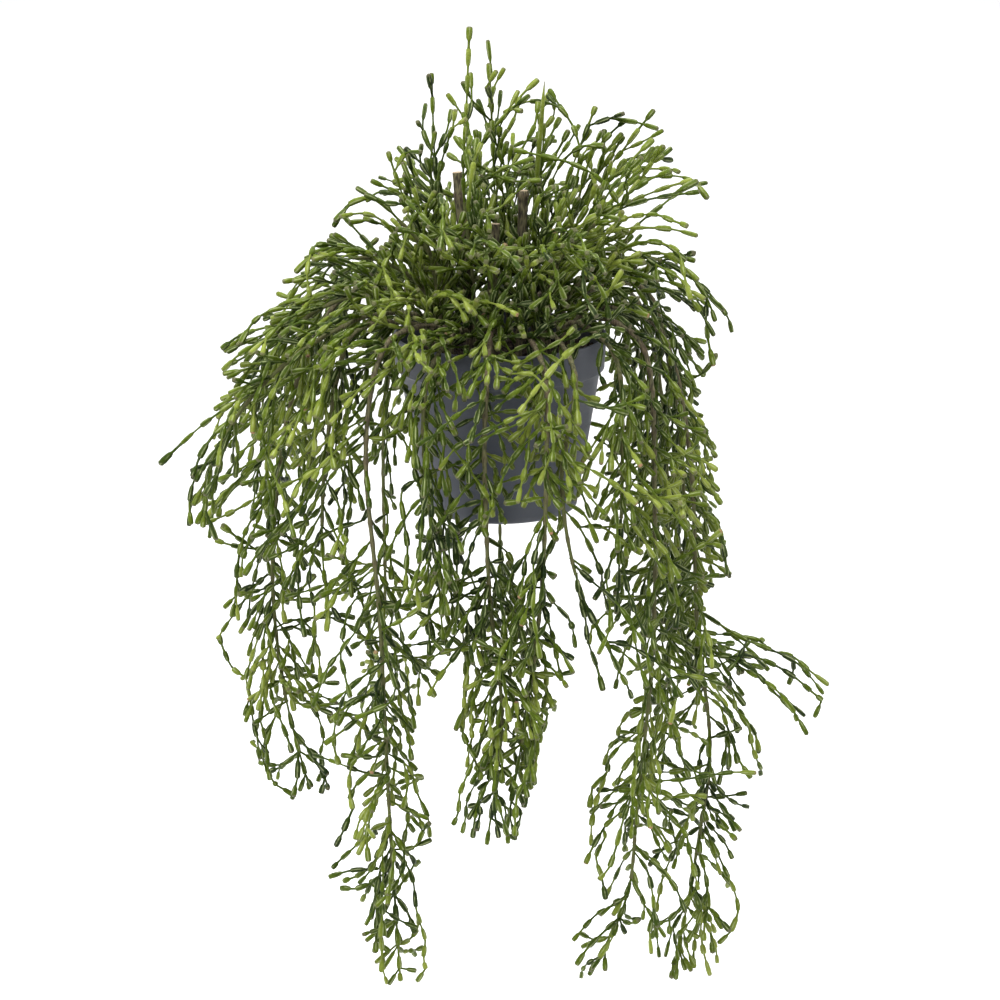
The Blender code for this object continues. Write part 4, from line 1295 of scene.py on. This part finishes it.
def add_object(name: str, data: bpy.types.ID) -> bpy.types.Object:
    """A new object in the scene, at the origin."""
    made = bpy.data.objects.new(name, data)
    bpy.context.scene.collection.objects.link(made)
    return made


def mark(mesh: bpy.types.Mesh, name: str, values: Any) -> None:
    """Keeps a number on each point of a mesh."""
    layer = mesh.attributes.new(name, "FLOAT", "POINT")
    layer.data.foreach_set("value", np.ascontiguousarray(values, np.float32).reshape(-1))


def wire_mesh(name: str, runs: Array, numbers: Mapping[str, Array]) -> bpy.types.Mesh:
    """A mesh of open lines with numbers on their points.

    Args:
        name: The mesh's name.
        runs: Points of each line: lines by points by 3.
        numbers: For each attribute, its value at each point: lines by points.

    Returns:
        The mesh.
    """
    lines, count = runs.shape[:2]
    first = np.arange(lines * count).reshape(lines, count)
    edges = np.stack([first[:, :-1], first[:, 1:]], axis=2).reshape(-1, 2)
    mesh = bpy.data.meshes.new(name)
    mesh.from_pydata(runs.reshape(-1, 3).tolist(), edges.tolist(), [])
    for key, values in numbers.items():
        mark(mesh, key, values)
    return mesh


def turn(name: str, profile: Sequence[Ring], steps: int) -> bpy.types.Mesh:
    """A solid of revolution about Z.

    Args:
        name: The mesh's name.
        profile: The rings from pole to pole, with the solid on the right of the way they run.
        steps: How many steps go round.

    Returns:
        The closed mesh, facing outwards, with a pole at each end.
    """
    radii, heights, wear = np.array(profile[1:-1]).T
    rings, angles = len(radii), np.arange(steps) * math.tau / steps
    points = np.stack([np.outer(radii, np.cos(angles)), np.outer(radii, np.sin(angles)),
                       np.repeat(heights[:, None], steps, axis=1)], axis=2).reshape(-1, 3)
    first, last = len(points), len(points) + 1
    points = np.vstack([points, (0.0, 0.0, profile[0][1]), (0.0, 0.0, profile[-1][1])])
    faces: list[tuple[int, ...]] = []
    for n in range(steps):
        after = (n + 1) % steps
        faces.append((first, n, after))
        for low in range(0, (rings - 1) * steps, steps):
            high = low + steps
            faces.append((low + n, high + n, high + after, low + after))
        base = (rings - 1) * steps
        faces.append((last, base + after, base + n))
    mesh = bpy.data.meshes.new(name)
    mesh.from_pydata(points.tolist(), [], faces)
    mark(mesh, "edge", [*np.repeat(wear, steps), 0.0, 0.0])
    mesh.shade_smooth()
    return mesh


def settle(piece: bpy.types.Object, slot: str, *nodes: str) -> bpy.types.Object:
    """Sets a finished piece on the pot's body, in place of the solids that it stands for."""
    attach(piece, "root")
    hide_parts(*nodes)
    logging.info("%s: %d faces", piece.name, len(piece.data.polygons))
    return piece


class ShapeTree:
    """A Geometry Nodes tree with named inputs, from its input shape to its finished one."""

    def __init__(self, name: str, sizes: Mapping[str, str]) -> None:
        """Makes the tree and its sockets.

        Args:
            name: The tree's name.
            sizes: Each named input's kind, Float or Int. One of them is Seed.
        """
        self.tree = bpy.data.node_groups.new(name, "GeometryNodeTree")
        self.graph = Graph(self.tree)
        for size, kind in {"Geometry": "Geometry", **sizes, "Finish": "Material"}.items():
            self.tree.interface.new_socket(size, in_out="INPUT", socket_type=f"NodeSocket{kind}")
        self.tree.interface.new_socket("Geometry", in_out="OUTPUT",
                                       socket_type="NodeSocketGeometry")
        self.entry = self.graph.node("NodeGroupInput")

    def size(self, name: str) -> Wire:
        """One named input."""
        return self.entry.beside(name)

    def read(self, name: str) -> Wire:
        """A number that the shape's points carry."""
        return self.graph.node("GeometryNodeInputNamedAttribute", {"data_type": "FLOAT"},
                               {"Name": name})

    def keep(self, shape: Wire, name: str, value: Wire, domain: str = "POINT") -> Wire:
        """The shape with a number kept on it."""
        return self.graph.node(
            "GeometryNodeStoreNamedAttribute", {"data_type": "FLOAT", "domain": domain},
            {"Geometry": shape, "Name": name, "Value": value})

    def chance(self, low: Any, high: Any, after_seed: int = 0, number: Wire | None = None
               ) -> Wire:
        """A random number or vector for each item, from the seed or a number after it."""
        kind = "FLOAT_VECTOR" if isinstance(low, tuple) else "FLOAT"
        seed = self.size("Seed") + after_seed if after_seed else self.size("Seed")
        return self.graph.node("FunctionNodeRandomValue", {"data_type": kind},
                               {"Min": low, "Max": high, "Seed": seed, "ID": number})

    def join(self, *shapes: Wire) -> Wire:
        """Several shapes as one."""
        joined = self.graph.node("GeometryNodeJoinGeometry")
        for shape in shapes:
            self.tree.links.new(shape.socket, joined.socket.node.inputs["Geometry"])
        return joined

    def tube(self, curve: Wire, ring: Wire, scale: Wire) -> Wire:
        """Closed, smooth tubes along curves."""
        shape = self.graph.node("GeometryNodeCurveToMesh", None, {
            "Curve": curve, "Profile Curve": ring, "Scale": scale, "Fill Caps": True})
        return self.graph.node("GeometryNodeSetShadeSmooth", None, {"Geometry": shape})

    def finish(self, shape: Wire) -> None:
        """Ends the tree: instances made real, then the finish."""
        shape = self.graph.node("GeometryNodeRealizeInstances", None, {"Geometry": shape})
        shape = self.graph.node("GeometryNodeSetMaterial", None,
                                {"Geometry": shape, "Material": self.size("Finish")})
        self.graph.node("NodeGroupOutput", None, {"Geometry": shape})

    def build(self, name: str, start: bpy.types.Mesh, sizes: Mapping[str, Any]
              ) -> bpy.types.Object:
        """Grows one piece with this tree.

        Args:
            name: The piece's name.
            start: The mesh that the tree starts from.
            sizes: The values of the tree's inputs.

        Returns:
            The piece, with a plain mesh and no modifier.
        """
        piece = add_object(name, start)
        modifier = piece.modifiers.new("Shape", "NODES")
        modifier.node_group = self.tree
        for item in self.tree.interface.items_tree:
            if item.in_out == "INPUT" and item.name in sizes:
                modifier[item.identifier] = sizes[item.name]
        graph = bpy.context.evaluated_depsgraph_get()
        mesh = bpy.data.meshes.new_from_object(piece.evaluated_get(graph))
        piece.modifiers.remove(modifier)
        piece.data = mesh
        bpy.data.meshes.remove(start)
        return piece


@dataclass
class SegmentMaker:
    """Makes the bottle-shaped segments of a stem: thin neck, angled club, blunt end.

    stations are the rings along a segment, where 1 is the end of its neck and 2 its own end.
    outline and spear are the radius shares along a plain segment and along the young shoot.
    neck_share is the part of a segment's length that its neck takes, neck_range how far that
    varies, sink how far a segment starts inside the last one, and fresh_after the number of
    joints after which a twig counts as young. Segments fewer joints out are painted darker,
    partly as older growth and partly as painted shade inside the plant.
    """

    radius: float = 0.00188
    girths: tuple[float, float] = (0.84, 1.12)
    ridges: int = 4
    furrow: float = 0.83
    neck_share: float = 0.38
    neck_range: float = 0.11
    sink: float = 0.05
    fresh_after: int = 6
    stations: tuple[float, ...] = (0.0, 0.35, 1.0, 1.20, 1.62, 1.93, 2.0)
    outline: tuple[tuple[float, float], ...] = (
        (0.0, 0.50), (0.175, 0.38), (0.5, 0.40), (0.60, 0.84), (0.81, 1.0), (0.965, 0.90),
        (1.0, 0.52))
    spear: tuple[tuple[float, float], ...] = (
        (0.0, 0.45), (0.20, 1.45), (0.62, 1.25), (0.9, 0.55), (1.0, 0.12))
    tree: ShapeTree | None = None

    def grow_tree(self) -> ShapeTree:
        """Writes the tree that turns lines into segments.

        Returns:
            The tree.
        """
        tree = ShapeTree("segments", {"Radius": "Float", "Ridges": "Int", "Furrow": "Float",
                                      "Seed": "Int"})
        graph = tree.graph
        curve = graph.node("GeometryNodeMeshToCurve", None, {"Mesh": tree.size("Geometry")})
        number = graph.node("GeometryNodeInputIndex")
        tint, girth, twist = (
            graph.node("GeometryNodeFieldOnDomain", {"domain": "CURVE"},
                       {"Value": tree.chance(low, high, after_seed, number)})
            for after_seed, (low, high) in enumerate(((0.0, 1.0), self.girths, (0.0, math.tau))))
        curve = tree.keep(curve, "tint", tint)
        curve = graph.node("GeometryNodeSetCurveTilt", None, {"Curve": curve, "Tilt": twist})
        along, spear = tree.read("along"), tree.read("spear")
        plain = graph.node("ShaderNodeFloatCurve", {"points": self.outline}, {"Value": along})
        long = graph.node("ShaderNodeFloatCurve", {"points": self.spear}, {"Value": along})
        scale = (plain * (1 - spear) * girth + long * spear) * tree.size("Radius")
        ring = graph.node("GeometryNodeCurveStar", None, {
            "Points": tree.size("Ridges"), "Inner Radius": tree.size("Furrow"),
            "Outer Radius": 1.0, "Twist": 0.0})
        ring = tree.keep(ring, "ridge", ring.beside("Outer Points"))
        tree.finish(tree.tube(curve, ring, scale))
        return tree

    def lines(self, stem: Stem, draw: random.Random) -> tuple[Array, dict[str, Array]]:
        """The line and numbers of every segment of a stem.

        Args:
            stem: The planned stem.
            draw: Random numbers for the lengths of the necks.

        Returns:
            Points of the lines, and their numbers, as wire_mesh takes them.
        """
        knots, shares, marks = [], [], []
        base = np.array(self.stations)
        for chain in stem.chains:
            joints = chain.joints
            path = [2 * joints[0] - joints[1], *joints, 2 * joints[-1] - joints[-2]]
            for n in range(len(joints) - 1):
                knots.append(path[n: n + 4])
                neck = self.neck_share + draw.uniform(-self.neck_range, self.neck_range)
                share = np.where(base < 1.0, base * neck, neck + (base - 1.0) * (1 - neck))
                if chain.pointed:
                    share = np.linspace(0.0, 1.0, len(base))
                share[0] -= self.sink if n else 0.0
                shares.append(share)
                last = n == len(joints) - 2 and not chain.grows_on
                # Joints out from the axis; the skin paints nearer segments darker, partly as
                # shade inside the plant
                age = min(1.0, (chain.rank + n) / self.fresh_after)
                marks.append((float(chain.pointed), float(last), age))
        a, b, c, d = (np.array(knots)[:, n, None] for n in range(4))
        share = np.array(shares)
        run = catmull_rom(a, b, c, d, share[:, :, None])
        spear, ending, age = (np.repeat(column[:, None], len(base), axis=1)
                              for column in np.array(marks).T)
        plain = np.tile(base / 2, (len(run), 1))
        along = np.where(spear > 0, share, plain)
        return run, {"along": along, "spear": spear, "ending": ending, "age": age}

    def make(self, stem: Stem, finish: bpy.types.Material, seed: int) -> bpy.types.Object:
        """The green segments of one stem, as one piece.

        Args:
            stem: The planned stem.
            finish: The segments' material.
            seed: For what varies from segment to segment.

        Returns:
            The piece, riding with the pot in place of its solid.
        """
        self.tree = self.tree or self.grow_tree()
        runs, numbers = self.lines(stem, random.Random(stem.name))
        name = f"{stem.name}_segments"
        piece = self.tree.build(name, wire_mesh(name, runs, numbers), {
            "Radius": self.radius, "Ridges": self.ridges, "Furrow": self.furrow,
            "Seed": seed, "Finish": finish})
        return settle(piece, "segments", stem.name)


@dataclass
class WoodMaker:
    """Makes woody rods: the axis of a stem, or a cut stalk.

    knot_swell is the share of the radius that a knot adds, and lumps the share that noise adds
    or takes away.
    """

    foot_radius: float = 0.00155
    end_radius: float = 0.00100
    stalk_radius: float = 0.0030
    stalk_knots_apart: float = 0.030
    cut_thickness: float = 0.0002
    knot_swell: float = 0.32
    knot_width: float = 0.0022
    sides: int = 9
    step: float = 0.0028
    lumps: float = 0.10
    lump_scale: float = 180.0
    tree: ShapeTree | None = None

    def grow_tree(self) -> ShapeTree:
        """Writes the tree that turns a line into a knotted rod.

        Returns:
            The tree.
        """
        tree = ShapeTree("woody_rod", {
            "Foot Radius": "Float", "End Radius": "Float", "Knot Swell": "Float",
            "Lumps": "Float", "Sides": "Int", "Seed": "Int"})
        graph = tree.graph
        curve = graph.node("GeometryNodeMeshToCurve", None, {"Mesh": tree.size("Geometry")})
        along, knot = tree.read("along"), tree.read("knot")
        place = graph.node("GeometryNodeInputPosition")
        lump = graph.node("ShaderNodeTexNoise", {"noise_dimensions": "4D"},
                          {"Vector": place, "W": tree.size("Seed"), "Scale": self.lump_scale})
        taper = tree.size("Foot Radius") * (1 - along) + tree.size("End Radius") * along
        swell = 1 + knot * tree.size("Knot Swell") + (lump - 0.5) * tree.size("Lumps") * 2
        ring = graph.node("GeometryNodeCurvePrimitiveCircle", None,
                          {"Resolution": tree.size("Sides"), "Radius": 1.0})
        tree.finish(tree.tube(curve, ring, taper * swell))
        return tree

    def line(self, stem: Stem, stalk: bool) -> tuple[Array, dict[str, Array]]:
        """The line of a stem's wood or of a cut stalk, from the bottom of its hole.

        Args:
            stem: The planned stem.
            stalk: Whether it is a cut stalk, with a last thin slice for its cut.

        Returns:
            The line and its numbers, as wire_mesh takes them.
        """
        bottom = np.array([*stem.foot, SOIL_TOP - HOLE_DEPTH + GAP])
        path = resample(np.vstack([bottom, stem.axis]), self.step)
        lengths = lengths_along(path)
        apart = self.stalk_knots_apart if stalk else GROWTH[stem.habit].fill_whorl
        off = (lengths - (lengths[-1] - lengths_along(stem.axis)[-1])) / apart
        knot = np.exp(-((off - np.round(off)) * apart / self.knot_width) ** 2)
        knot[off < 0.5] = 0.0
        along, cut = lengths / lengths[-1], np.zeros(len(path))
        if stalk:
            path = np.vstack([path, path[-1]])
            path[-2] -= unit(path[-1] - path[-3]) * self.cut_thickness
            knot, cut, along = np.append(knot, 0.0), np.append(cut, 1.0), np.zeros(len(path))
        return path[None], {"along": along[None], "knot": knot[None], "cut": cut[None]}

    def make(self, stem: Stem, finish: bpy.types.Material, seed: int, stalk: bool
             ) -> bpy.types.Object:
        """The wood of one stem, as one piece.

        Args:
            stem: The planned stem.
            finish: The bark.
            seed: For the rod's lumps.
            stalk: Whether it is a cut stalk, thick to its flat top.

        Returns:
            The piece, riding with the pot in place of its solid.
        """
        self.tree = self.tree or self.grow_tree()
        name = f"{stem.name}_rod" if stalk else f"{stem.name}_wood"
        piece = self.tree.build(name, wire_mesh(name, *self.line(stem, stalk)), {
            "Foot Radius": self.stalk_radius if stalk else self.foot_radius,
            "End Radius": self.end_radius, "Knot Swell": self.knot_swell,
            "Lumps": self.lumps, "Sides": self.sides, "Seed": seed, "Finish": finish})
        return settle(piece, "bark", stem.name)


@dataclass
class HangingPot:
    """The plain tapered pot: floor, wall, taller collar and the ledge under it.

    lip is the rounding of the top edge, and lip_from the angle where its inner side begins.
    wall_heights are the top, the bottom and the number of the rings on the body. Each corner
    is a row of rings, as steps from where its edge would be if it were sharp.
    """

    height: float = POT_HEIGHT
    steps: int = 128
    lip: float = 0.0007
    lip_from: float = 0.3
    floor_ring: float = 0.02
    inner_corner: float = 0.001
    collar_inset: float = 0.0012
    collar_down_to: float = 0.92
    under_ledge: float = 0.004
    wall_heights: tuple[float, float, int] = (0.08, 0.004, 12)
    foot_line: float = 0.0015
    hollow: float = 0.0006
    collar_corner: tuple[Ring, ...] = (
        (0.0001, 0.0009, 0.2), (0.0, 0.0004, 0.9), (-0.0003, 0.0001, 0.9), (-0.0007, 0.0, 0.4))
    ledge_corner: tuple[Ring, ...] = ((0.0005, 0.0, 0.0), (0.0, -0.0006, 0.0))
    foot_corner: tuple[Ring, ...] = (
        (-0.0004, 0.0004, 0.7), (-0.0012, 0.0, 0.3), (-0.004, 0.0, 0.0), (-0.0046, 0.0006, 0.0))

    def body_radius(self, height: float) -> float:
        """Outer radius of the tapered body under the collar."""
        top = RIM_RADIUS - COLLAR_TAPER - LEDGE
        return BASE_RADIUS + (top - BASE_RADIUS) * height / (self.height - COLLAR_HEIGHT)

    def inside(self) -> list[Ring]:
        """The rings from the floor's middle up to the top of the lip."""
        ledge, floor = self.height - COLLAR_HEIGHT, self.body_radius(FLOOR) - WALL
        rings = [(0.0, FLOOR, 0.0), (self.floor_ring, FLOOR, 0.0),
                 (floor - self.inner_corner, FLOOR, 0.0), (floor, FLOOR + self.inner_corner, 0.0),
                 (self.body_radius(ledge) - WALL, ledge + WALL, 0.0),
                 (RIM_RADIUS - COLLAR_TAPER - WALL, ledge + 2 * WALL, 0.0),
                 (RIM_RADIUS - WALL, self.height - self.lip, 0.3)]
        return rings + [(RIM_RADIUS - WALL + self.lip * (1 - math.cos(angle)),
                         self.height - self.lip * (1 - math.sin(angle)), 1.0)
                        for angle in np.linspace(self.lip_from, math.pi / 2, 4)]

    def outside(self) -> list[Ring]:
        """The rings from the top of the lip down to the foot's middle."""
        ledge, collar = self.height - COLLAR_HEIGHT, RIM_RADIUS - COLLAR_TAPER
        body = self.body_radius(ledge)
        rings = [(RIM_RADIUS - self.lip * (1 - math.sin(angle)),
                  self.height - self.lip * (1 - math.cos(angle)), 1.0)
                 for angle in np.linspace(0, math.pi / 2, 5)]
        rings += [(RIM_RADIUS - COLLAR_TAPER * share, self.height - self.collar_inset
                   - (COLLAR_HEIGHT - 2 * self.collar_inset) * share, 0.0)
                  for share in np.linspace(0.0, self.collar_down_to, 4)]
        rings += [(collar + out, ledge + up, wear) for out, up, wear in self.collar_corner]
        rings += [(body + out, ledge + up, wear) for out, up, wear in self.ledge_corner]
        rings += [(self.body_radius(z), z, 0.0)
                  for z in (ledge - self.under_ledge, *np.linspace(*self.wall_heights))]
        rings.append((self.body_radius(self.foot_line), self.foot_line, 0.2))
        rings += [(BASE_RADIUS + out, up, wear) for out, up, wear in self.foot_corner]
        return rings + [(0.0, self.hollow, 0.0)]

    def make(self, finish: bpy.types.Material) -> bpy.types.Object:
        """The pot as one piece, in place of its solid."""
        mesh = turn("pot_shell", self.inside() + self.outside(), self.steps)
        mesh.materials.append(finish)
        return settle(add_object("pot_shell", mesh), "pot_plastic", "pot")


@dataclass
class SoilPlug:
    """The soil: a lumpy mound that closes on the pot's inside, with loose crumbs on it.

    middle is the radius of the innermost ring on top, dome the power that the mound rises by,
    and edge_margin how far in from the wall the lumps begin. crumbs is their number per square
    metre, and crumb_least and crumb_most are the bounds of their sizes.
    """

    rings: int = 34
    steps: int = 96
    middle: float = 0.0006
    dome: float = 0.8
    edge_margin: float = 0.0001
    crumbs: float = 150000.0
    crumb_radius: float = 0.0011
    crumb_least: Point = (0.35, 0.35, 0.3)
    crumb_most: Point = (1.0, 1.1, 0.7)
    crumb_turn: Point = (6.28, 6.28, 6.28)
    lump: float = 0.0016
    coarse_share: float = 1.4
    coarse_scale: float = 110.0
    fine_share: float = 0.8
    fine_scale: float = 420.0
    seed: int = 5

    def grow_tree(self) -> ShapeTree:
        """Writes the tree that lifts the top into lumps and strews crumbs over it.

        Returns:
            The tree.
        """
        tree = ShapeTree("strewn_soil", {"Crumb Radius": "Float", "Density": "Float",
                                         "Lump": "Float", "Seed": "Int"})
        graph = tree.graph
        top = tree.read("top")
        place = graph.node("GeometryNodeInputPosition")
        coarse = (graph.noise(place, self.coarse_scale) - 0.5) * self.coarse_share
        fine = (graph.noise(place, self.fine_scale) - 0.5) * self.fine_share
        rise = (coarse + fine) * tree.size("Lump") * top
        offset = graph.node("ShaderNodeCombineXYZ", None, {"Z": rise})
        bed = graph.node("GeometryNodeSetPosition", None,
                         {"Geometry": tree.size("Geometry"), "Offset": offset})
        bed = tree.keep(bed, "tint", graph.node("ShaderNodeValue"))
        points = graph.node("GeometryNodeDistributePointsOnFaces", None, {
            "Mesh": bed, "Selection": top.between(0.9, 0.95),
            "Density": tree.size("Density"), "Seed": tree.size("Seed")})
        crumb = graph.node("GeometryNodeMeshIcoSphere", None,
                           {"Radius": tree.size("Crumb Radius"), "Subdivisions": 1})
        crumbs = graph.node("GeometryNodeInstanceOnPoints", None, {
            "Points": points, "Instance": crumb,
            "Rotation": tree.chance((0.0, 0.0, 0.0), self.crumb_turn),
            "Scale": tree.chance(self.crumb_least, self.crumb_most, 1)})
        crumbs = tree.keep(crumbs, "tint", tree.chance(0.0, 1.0, 2), "INSTANCE")
        tree.finish(tree.join(crumbs, bed))
        return tree

    def start_mesh(self, pot: HangingPot) -> bpy.types.Mesh:
        """The plug before its lumps: a turned solid with rings close together on top."""
        ledge, peak = pot.height - COLLAR_HEIGHT, SOIL_TOP + SOIL_MOUND
        edge = RIM_RADIUS - COLLAR_TAPER - WALL - GAP
        top = [(edge * (1 - share) + self.middle * share,
                SOIL_TOP + SOIL_MOUND * (share ** self.dome), 0.0)
               for share in np.linspace(1.0, 0.0, self.rings)]
        below = [(edge, ledge + 2 * WALL + 2 * GAP, 0.0),
                 (pot.body_radius(ledge) - WALL - GAP, ledge + WALL + GAP, 0.0),
                 (pot.body_radius(FLOOR) - WALL - GAP, FLOOR + GAP, 0.0),
                 (0.0, FLOOR + GAP, 0.0)]
        mesh = turn("soil_bed", [(0.0, peak, 0.0), *top, *below], self.steps)
        x, y, z = np.array([vertex.co[:] for vertex in mesh.vertices]).T
        mark(mesh, "top", (z > SOIL_TOP - HAIR) & (np.hypot(x, y) < edge - self.edge_margin))
        return mesh

    def make(self, pot: HangingPot, finish: bpy.types.Material) -> bpy.types.Object:
        """The soil as one piece, in place of its solid."""
        piece = self.grow_tree().build("soil_bed", self.start_mesh(pot), {
            "Crumb Radius": self.crumb_radius, "Density": self.crumbs, "Lump": self.lump,
            "Seed": self.seed, "Finish": finish})
        return settle(piece, "potting_soil", "soil")


@dataclass(frozen=True)
class Lamp:
    """A square soft light: its place, the length of its sides, its power and its tilt."""

    name: str
    place: Point
    size: float
    power: float
    tilt: Point = (0.0, 0.0, 0.0)

    def hang(self) -> None:
        """Adds the light to the scene."""
        data = bpy.data.lights.new(self.name, "AREA")
        data.energy, data.size = self.power, self.size
        light = add_object(self.name, data)
        light.location = self.place
        light.rotation_euler = Euler([math.radians(angle) for angle in self.tilt])


@dataclass
class Studio:
    """The camera at the photograph's angle, the soft lights and the pale floor."""

    pitch: float = 16.07
    lens: float = 105.9
    sensor: float = 36.0
    floor_height: float = -0.62
    floor_reach: float = 14.0
    glow: float = 0.55
    lamps: tuple[Lamp, ...] = (
        Lamp("key", (-0.7, -1.5, 2.1), 1.7, 102.0, (38.0, 0.0, -25.0)),
        Lamp("top", (0.2, 0.3, 2.4), 1.3, 56.0, (-7.0, 5.0, 0.0)),
        Lamp("backdrop", (0.0, 5.6, 3.4), 5.0, 205.0),
        Lamp("left_fill", (-2.2, 0.1, 0.5), 1.4, 18.0, (90.0, 0.0, -90.0)),
        Lamp("right_fill", (2.2, 0.0, 0.4), 1.4, 18.0, (90.0, 0.0, 90.0)))

    def set_camera(self) -> None:
        """Sets the camera at VIEW_PLACE and makes it the scene's."""
        data = bpy.data.cameras.new("camera")
        data.lens, data.sensor_width = self.lens, self.sensor
        camera = add_object("camera", data)
        camera.location = VIEW_PLACE
        camera.rotation_euler = Euler((math.radians(90 - self.pitch), 0.0, 0.0))
        bpy.context.scene.camera = camera

    def set_surroundings(self) -> None:
        """Pale light from all round, and plain display of its colours."""
        world = bpy.data.worlds.new("surroundings")
        world.use_nodes = True
        graph = Graph(world.node_tree)
        pale = graph.node("ShaderNodeBackground", None,
                          {"Color": (1.0, 1.0, 1.0, 1.0), "Strength": self.glow})
        graph.node("ShaderNodeOutputWorld", None, {"Surface": pale})
        bpy.context.scene.world = world
        view = bpy.context.scene.view_settings
        view.view_transform, view.look = "Standard", "None"

    def lay_floor(self, finish: bpy.types.Material) -> None:
        """Lays a plain pale floor well below the lowest stem."""
        reach, height = self.floor_reach, self.floor_height
        mesh = bpy.data.meshes.new("floor")
        mesh.from_pydata([(-reach, -reach, height), (reach, -reach, height),
                          (reach, reach, height), (-reach, reach, height)], [], [(0, 1, 2, 3)])
        mesh.materials.append(finish)
        add_object("floor", mesh)

    def make(self) -> None:
        """Sets the whole studio."""
        self.set_camera()
        for lamp in self.lamps:
            lamp.hang()
        self.set_surroundings()
        self.lay_floor(PaleGround().material())


def main() -> None:
    """Builds the dressed plant, piece by piece, and notes its size."""
    logging.basicConfig(level=logging.INFO, format="%(message)s")
    plant = Planner().plan()
    logging.info("segments: %d", sum(len(chain.joints) - 1 for stem in plant.stems
                                     for chain in stem.chains))
    pot = HangingPot()
    pot.make(PotPlastic().material())
    SoilPlug().make(pot, PottingSoil().material())
    bark = Bark().material()
    wood_maker = WoodMaker()
    for number, stalk in enumerate(plant.stalks):
        wood_maker.make(stalk, bark, number, stalk=True)
    skin = SegmentSkin().material()
    segment_maker = SegmentMaker()
    for number, stem in enumerate(plant.stems):
        wood_maker.make(stem, bark, number, stalk=False)
        segment_maker.make(stem, skin, number * SEEDS_APART)
    Studio().make()


if __name__ == "__main__":
    main()
